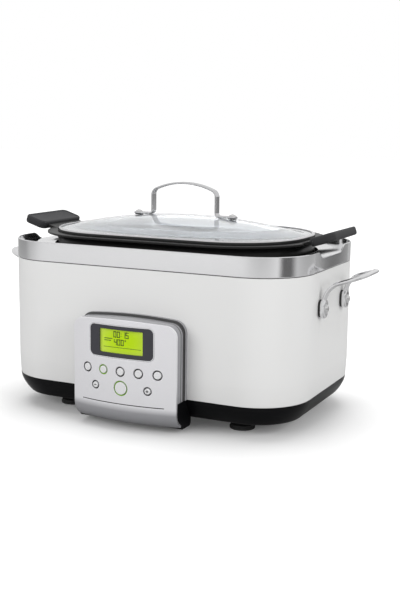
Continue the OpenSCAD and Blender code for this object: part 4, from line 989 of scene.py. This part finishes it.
screen_y = module_low.y
lcd = made("display_cell", block(module_low, module_high))
glow = Finish(bpy.data.materials.new("display_green"))
spot = glow.place()
wash = 0
for axis, middle, steepness in ((0, 0.0016, 40), (2, 0.1023, 75)):
    off_centre = glow.node("ShaderNodeSeparateXYZ", {}, {"Vector": spot}, axis) - middle
    edge_share = off_centre.sum("ABSOLUTE", off_centre) * steepness
    wash = edge_share * edge_share * edge_share + wash
leaf = glow.blend(wash * 0.4, shade(0.36, 0.54, 0.008), shade(0.50, 0.62, 0.10))
display_green = glow.skin(leaf, 0.35, Specular_IOR_Level=0.06, Emission_Color=leaf, Emission_Strength=0.3)
fitted(lcd, display_green, "housing", "display_green", "display_module")

SEGMENTS = {"0": "abcdef", "1": "bc", "4": "fgbc", "5": "afgcd"}
ink_thick, digit_wide, digit_stroke = 0.06, 3.7, 1.0
time_z, time_tall, heat_z, heat_tall = 105.6, 7.0, 97.0, 6.9


def figure(mark, x, z, wide, tall, stroke):
    """Bars of one seven-segment figure, as blocks in front of the cell."""
    top, mid, bottom = z + tall, z + tall / 2, z
    bars = {"a": (x, x + wide, top - stroke, top), "d": (x, x + wide, bottom, bottom + stroke),
            "g": (x, x + wide, mid - stroke / 2, mid + stroke / 2),
            "b": (x + wide - stroke, x + wide, mid, top), "c": (x + wide - stroke, x + wide, bottom, mid),
            "f": (x, x + stroke, mid, top), "e": (x, x + stroke, bottom, mid)}
    return [block((bars[s][0], screen_y - ink_thick, bars[s][2]), (bars[s][1], screen_y, bars[s][3]))
            for s in SEGMENTS[mark]]


ink_bars = []
for mark, x in zip("0015", (-10.9, -6.5, 0.6, 4.6)):
    ink_bars += figure(mark, x, time_z, digit_wide, time_tall, digit_stroke)
for z in (107.2, 110.0):
    ink_bars.append(block((-1.7, screen_y - ink_thick, z), (-0.8, screen_y, z + 0.9)))
for mark, x in zip("400", (-10.4, -6.0, -1.6)):
    ink_bars += figure(mark, x, heat_z, digit_wide, heat_tall, digit_stroke)
ink_bars += figure("0", 3.2, 101.9, 1.7, 2.0, 0.5)
for x0, x1, z0, z1 in ((-23.5, 23.5, 94.3, 94.9), (-22.5, -12.2, 103.6, 104.6), (-22.5, -14, 101.4, 102.3)):
    ink_bars.append(block((x0, screen_y - 0.05, z0), (x1, screen_y, z1)))
figures = made("display_figures", *ink_bars)
ink = Finish(bpy.data.materials.new("display_ink"))
ink_tone = ink.grain(300)
display_ink = ink.skin(ink.blend(ink_tone, shade(0.05, 0.09, 0.006), shade(0.07, 0.12, 0.008)), 0.4)
fitted(figures, display_ink, "housing", "display_green")

# ---- Buttons ---------------------------------------------------------------
# Eight caps of satin grey-white ABS stand a little proud of the fascia in a ring-shaped gap.
# Clear light guides fill the gaps; those of two buttons glow green.

button_plastic = plastic("button_plastic", shade(0.72, 0.72, 0.73), 0.34, 1500, 0.01, coat=0.2)
cap_gap, stem_radius, stem_start, stem_long = 1.6, 2.6, 3.6, 8.1
for name, (x, z, wide) in BUTTONS.items():
    cap = pressed(name + "_face", [hole(x, z, wide / 2 - cap_gap, 40)], 5.2, 0.7, -0.4, 2.5)
    stem = made(name + "_stem", turned(
        [(0, 0), (stem_radius, 0), (stem_radius, -1), (stem_radius, -stem_long), (0, -stem_long)], 24,
        Matrix.Translation((x, bow_at(x) + stem_start, z)) @ front_turn))
    stem_end = span(name)[1].y
    for vert in stem.data.vertices:
        if vert.co.y > (bow_at(x) + 5) * MM:
            vert.co.y = stem_end * MM
    fitted(cap, button_plastic, name + "_cap", "button_plastic", name, crease=40)
    fitted(stem, button_plastic, name + "_cap", "button_plastic", name, crease=40)
print_grey = plastic("print_grey", shade(0.06), 0.5)
for name, ending, half_x, half_z, setback in (
        ("button_minus", "_mark", 1.7, 0.5, -0.45), ("button_plus", "_mark", 1.7, 0.5, -0.45),
        ("button_plus", "_mark_upright", 0.5, 1.7, -0.46)):
    x, z = BUTTONS[name][:2]
    mark = pressed(name + ending, [window(x - half_x, x + half_x, z - half_z, z + half_z, 0.2, 2)],
                   0.1, 0.02, setback, 2.5)
    fitted(mark, print_grey, name + "_cap", "dark_plastic")
dressed(plastic("ring_dark", shade(0.016), 0.3, 900, 0.01, coat=0.3), "dark_rings")
guide = Finish(bpy.data.materials.new("lit_green"))
guide_tone = guide.blend(guide.grain(160), shade(0.11, 0.23, 0.012), shade(0.16, 0.32, 0.015))
dressed(guide.skin(guide_tone, 0.35, Emission_Color=guide_tone, Emission_Strength=0.35), "lit_rings")

# ---- Pot -------------------------------------------------------------------
# A cast aluminium pot with a black non-stick coat. Its wall coves out into a flange that
# stands above the rim, and two broad tabs lean out over the notches for lifting.

flange_out, flange_thick, pot_sheet, lid_skirt, lid_gap = 13, 2.4, 2.6, 6, 0.3
pot_bottom, pot_top = span("pot_shell")[0].z, span("lid_rim")[0].z + lid_skirt - lid_gap
cove, base_round, inner_round = 9.2, 9, 7
flange_under = pot_top - flange_thick
quarter = [math.pi / 2 * k / 6 for k in range(7)]
outer = [(-base_round + base_round * math.sin(a), pot_bottom + base_round - base_round * math.cos(a))
         for a in quarter]
outer += [(0, 140), (0, flange_under - cove)]
outer += [(cove - cove * math.cos(a), flange_under - cove + cove * math.sin(a))
          for a in (math.pi / 2 * k / 8 for k in range(1, 9))]
edge = softened([(flange_out - 1, flange_under, 0), (flange_out, flange_under, 1.0),
                 (flange_out, pot_top, 1.0), (-pot_sheet, pot_top, 3.2), (-pot_sheet, 150, 0)],
                steps=5, loop=False)
inner = [(-pot_sheet - inner_round + inner_round * math.cos(a),
          pot_bottom + pot_sheet + inner_round - inner_round * math.sin(a)) for a in quarter]
pot_rings = [pot_ring(grow, z) for grow, z in outer + edge[1:] + inner]
tab_wide, tab_thick, tab_reach, tab_drop, tab_tilt = 70, 4, 46, 4.6, math.radians(17.5)
tab_root = Matrix.Translation((pot_length / 2 - 2, 0, pot_top - tab_drop))
tab_place = tab_root @ Matrix.Rotation(-tab_tilt, 4, "Y")


def lying(length, depth, radius, profile, centre_x, place):
    """Flat slab with rounded edges from an (inset, height) profile, lying in its own frame."""
    rings = []
    for inset, height in profile:
        ring = rounded_rectangle(length - 2 * inset, depth - 2 * inset, max(radius - inset, 0.5), height,
                                 8, 20, 32)
        rings.append([place @ (p + Vector((centre_x, 0, 0))) for p in ring])
    return skinned(rings)


tab_edge = [(0.8, -tab_thick / 2), (0, -tab_thick / 2 + 0.8), (0, tab_thick / 2 - 0.8), (0.8, tab_thick / 2)]
mirror_x = Matrix.Scale(-1, 4, (1, 0, 0))
pot = made("pot_cast", skinned(pot_rings),
           lying(tab_reach, tab_wide, 6, tab_edge, tab_reach / 2, tab_place),
           lying(tab_reach, tab_wide, 6, tab_edge, tab_reach / 2, mirror_x @ tab_place))
coat_finish = Finish(bpy.data.materials.new("pot_black"))
speck = coat_finish.grain(1500, 2.0)
pot_black = coat_finish.skin(coat_finish.blend(speck, shade(0.004), shade(0.008)), speck * 0.1 + 0.3,
                             Specular_IOR_Level=0.25, Normal=coat_finish.relief(speck, 0.02))
fitted(pot, pot_black, "pot", "pot_black", "pot_shell", crease=40)

# ---- Pot grips -------------------------------------------------------------
# Charcoal silicone sleeves that slip over the tabs, with a raised border round a sunk panel,
# so that the hot pot can be lifted out by hand.

grip_start, grip_long, grip_wide, grip_thick = 21, 30, 88, 10
grip_half = grip_thick / 2
grip_edge = [(3.2, -grip_half), (1.2, -grip_half + 0.5), (0.2, -grip_half + 1.8), (0, -1), (0, 1),
             (0.2, grip_half - 1.6), (0.9, grip_half - 0.5), (2.0, grip_half), (3.0, grip_half),
             (3.6, grip_half - 0.25), (4.0, grip_half - 0.8), (4.6, grip_half - 0.95)]
silicone = plastic("grip_silicone", shade(0.030, 0.030, 0.032), 0.6, 1800, 0.04, mottle=0.12, shine=0.25)
for side, place in (("right", tab_place), ("left", mirror_x @ tab_place)):
    grip = made("grip_sleeve_" + side,
                lying(grip_long, grip_wide, 8, grip_edge, grip_start + grip_long / 2, place))
    fitted(grip, silicone, "pot", "grip_silicone", "pot_grip_" + side, crease=50)

# ---- Lid glass -------------------------------------------------------------
# One pane of tempered glass pressed to a shallow dome, with a flat border that the steel
# rim folds over.

rim_ring_low, rim_ring_high = span("lid_rim")
lid_length, lid_depth = rim_ring_high.x - rim_ring_low.x, rim_ring_high.y - rim_ring_low.y
lid_corner, channel_tall = 84.5, 4
lid_seat, lid_top = rim_ring_high.z - channel_tall, rim_ring_high.z
dome_rise, dome_long, dome_deep, glass_thick = 17, 300, 166, 4
dome_top = lid_top + dome_rise
dome_rx = (dome_long ** 2 / 4 + dome_rise ** 2) / (2 * dome_rise)
dome_ry = (dome_deep ** 2 / 4 + dome_rise ** 2) / (2 * dome_rise)
glass_inset, glass_border, border_thick = 1.2, lid_top - 1.1, 2.0


def glass_height(x, y):
    """Height of the glass: the dome, run smoothly into the flat border."""
    across = dome_rx - dome_ry + math.sqrt(dome_ry ** 2 - y * y)
    dome = dome_top - dome_rx + math.sqrt(max(across ** 2 - x * x, 1))
    border, soft = glass_border, 2.2
    gap = max(soft - abs(dome - border), 0) / soft
    return max(dome, border) + gap * gap * soft / 4


pane_steps = 48
glass_rings = [[Vector((0, 0, glass_height(0, 0)))]]
for k in range(1, pane_steps + 1):
    size = k / pane_steps
    ring = rounded_rectangle((lid_length - 2 * glass_inset) * size, (lid_depth - 2 * glass_inset) * size,
                             (lid_corner - glass_inset) * size, 0, 14, 24, 16)
    glass_rings.append([Vector((p.x, p.y, glass_height(p.x, p.y))) for p in ring])
extra_thick = glass_thick - border_thick
below = [[p - Vector((0, 0, border_thick + extra_thick * min(1, max(0, (p.z - lid_top) / 6)))) for p in ring]
         for ring in reversed(glass_rings)]
pane = made("lid_pane", skinned(glass_rings + below))
glass = Finish(bpy.data.materials.new("lid_glass"))
smear = glass.grain(24)
lid_glass = glass.skin(shade(0.80, 0.83, 0.86), smear * 0.02, Transmission_Weight=0.85, IOR=1.5,
                       Coat_Weight=0.6, Coat_IOR=1.5, Coat_Roughness=0.0)
fitted(pane, lid_glass, "lid", "lid_glass", "lid_glass", crease=50)

# ---- Lid rim ---------------------------------------------------------------
# A stainless channel folded round the edge of the glass, with a skirt that centres the lid
# in the pot. Below a line near its top the channel is painted near-black as shade.

channel_lip, channel_sheet, skirt_out, skirt_in = 4, 0.8, 4.6, 5.4
rim_section = softened([
    (0, lid_seat, 0.3), (0, lid_top, 1.5), (channel_lip, lid_top, 0.35),
    (channel_lip, lid_top - channel_sheet, 0.1), (1, lid_top - channel_sheet, 0.1),
    (1, lid_seat + channel_sheet, 0.1), (skirt_in, lid_seat + channel_sheet, 0.3),
    (skirt_in, lid_seat - lid_skirt, 0.35), (skirt_out, lid_seat - lid_skirt, 0.35),
    (skirt_out, lid_seat, 0.1)], steps=4)
lid_rings = [rounded_rectangle(lid_length - 2 * inset, lid_depth - 2 * inset, lid_corner - inset, z)
             for inset, z in rim_section]
lid_ring = made("lid_channel", skinned(lid_rings, loop=True))
channel = Finish(bpy.data.materials.new("lid_channel"))
channel_z = channel.node("ShaderNodeSeparateXYZ", {}, {"Vector": channel.place()}, 2)
# Below this line the channel is painted near-black and not metallic: painted shade under its top edge, not a
# seal.
shade_band_top = lid_top - 1.4
above = channel_z > shade_band_top * MM
lid_channel = channel.skin(channel.blend(above, shade(0.02), shade(0.66, 0.66, 0.67)), above * -0.25 + 0.4,
                           Metallic=above)
fitted(lid_ring, lid_channel, "lid", "polished_steel", "lid_rim", crease=50)

# ---- Lid handle ------------------------------------------------------------
# A flat stainless strap bent to an arch, with two feet that are screwed through the glass
# on dark washers.

strap_wide, strap_thick, strap_half, strap_rise = 10, 2.6, 42.5, 38
foot_long, arch_radius, shoulder, ankle = 26.5, 95, 8, 4
bolt_x = strap_half + foot_long - 6
washer_z = span("lid_washers")[0].z
strap_foot = washer_z + 1 + strap_thick / 2
strap_top = dome_top + strap_rise
arch_angle = math.asin((strap_half - shoulder) / (arch_radius - shoulder))
shoulder_z = strap_top - arch_radius + (arch_radius - shoulder) * math.cos(arch_angle)
strap_line = []
for x, z, radius, start, end, steps in (
    (0, strap_top - arch_radius, arch_radius, 90, 90 - math.degrees(arch_angle), 20),
    (strap_half - shoulder, shoulder_z, shoulder, 90 - math.degrees(arch_angle), 0, 10),
    (strap_half + ankle, strap_foot + ankle, ankle, 180, 270, 8),
):
    side = 1 if end < start else -1
    for k in range(steps + 1):
        a = math.radians(start + (end - start) * k / steps)
        strap_line.append((x + radius * math.cos(a), z + radius * math.sin(a),
                           side * math.cos(a), side * math.sin(a), strap_wide / 2))
foot_steps = 12
for k in range(1, foot_steps + 1):
    x = strap_half + ankle + (foot_long - ankle) * (1 - (1 - k / foot_steps) ** 2)
    back = strap_half + foot_long - x
    wide = math.sqrt(max(0.3, (strap_wide / 2) ** 2 - max(0, strap_wide / 2 - back) ** 2))
    strap_line.append((x, strap_foot, 0, 1, wide))
strap_section = softened([(-1, -1, 0.4), (1, -1, 0.4), (1, 1, 0.4), (-1, 1, 0.4)], steps=3)
strap_rings = []
for sign_x, line in ((-1, strap_line[::-1]), (1, strap_line[1:])):
    for x, z, nx, nz, wide in line:
        strap_rings.append([Vector((sign_x * (x + nx * out * strap_thick / 2), across * wide,
                                    z + nz * out * strap_thick / 2)) for across, out in strap_section])
strap = made("lid_strap", skinned(strap_rings))
brushed_steel = metal("brushed_steel", shade(0.64, 0.64, 0.65), 0.16, (1, 9, 1), 160, 0.08)
fitted(strap, brushed_steel, "lid", "polished_steel", "lid_handle", crease=50)
washers = made("lid_washers_dark", turned(softened([(2.4, 0, 0), (5, 0, 0.3), (5, 1, 0.3), (2.4, 1, 0)]), 32))
set_out(washers, 2, (-bolt_x, 0, washer_z), (2 * bolt_x, 0, 0), satin_black)
fitted(washers, satin_black, "lid", "dark_plastic", "lid_washers")
bolt_low = span("lid_screws")[0].z
bolts = domed_screw("lid_bolts", head=4.4, rise=2.2, shank=2.0,
                    length=strap_foot + strap_thick / 2 - bolt_low)
set_out(bolts, 2, (-bolt_x, 0, strap_foot + strap_thick / 2), (2 * bolt_x, 0, 0), plated_screw)
fitted(bolts, plated_screw, "lid", "plated_steel", "lid_screws")
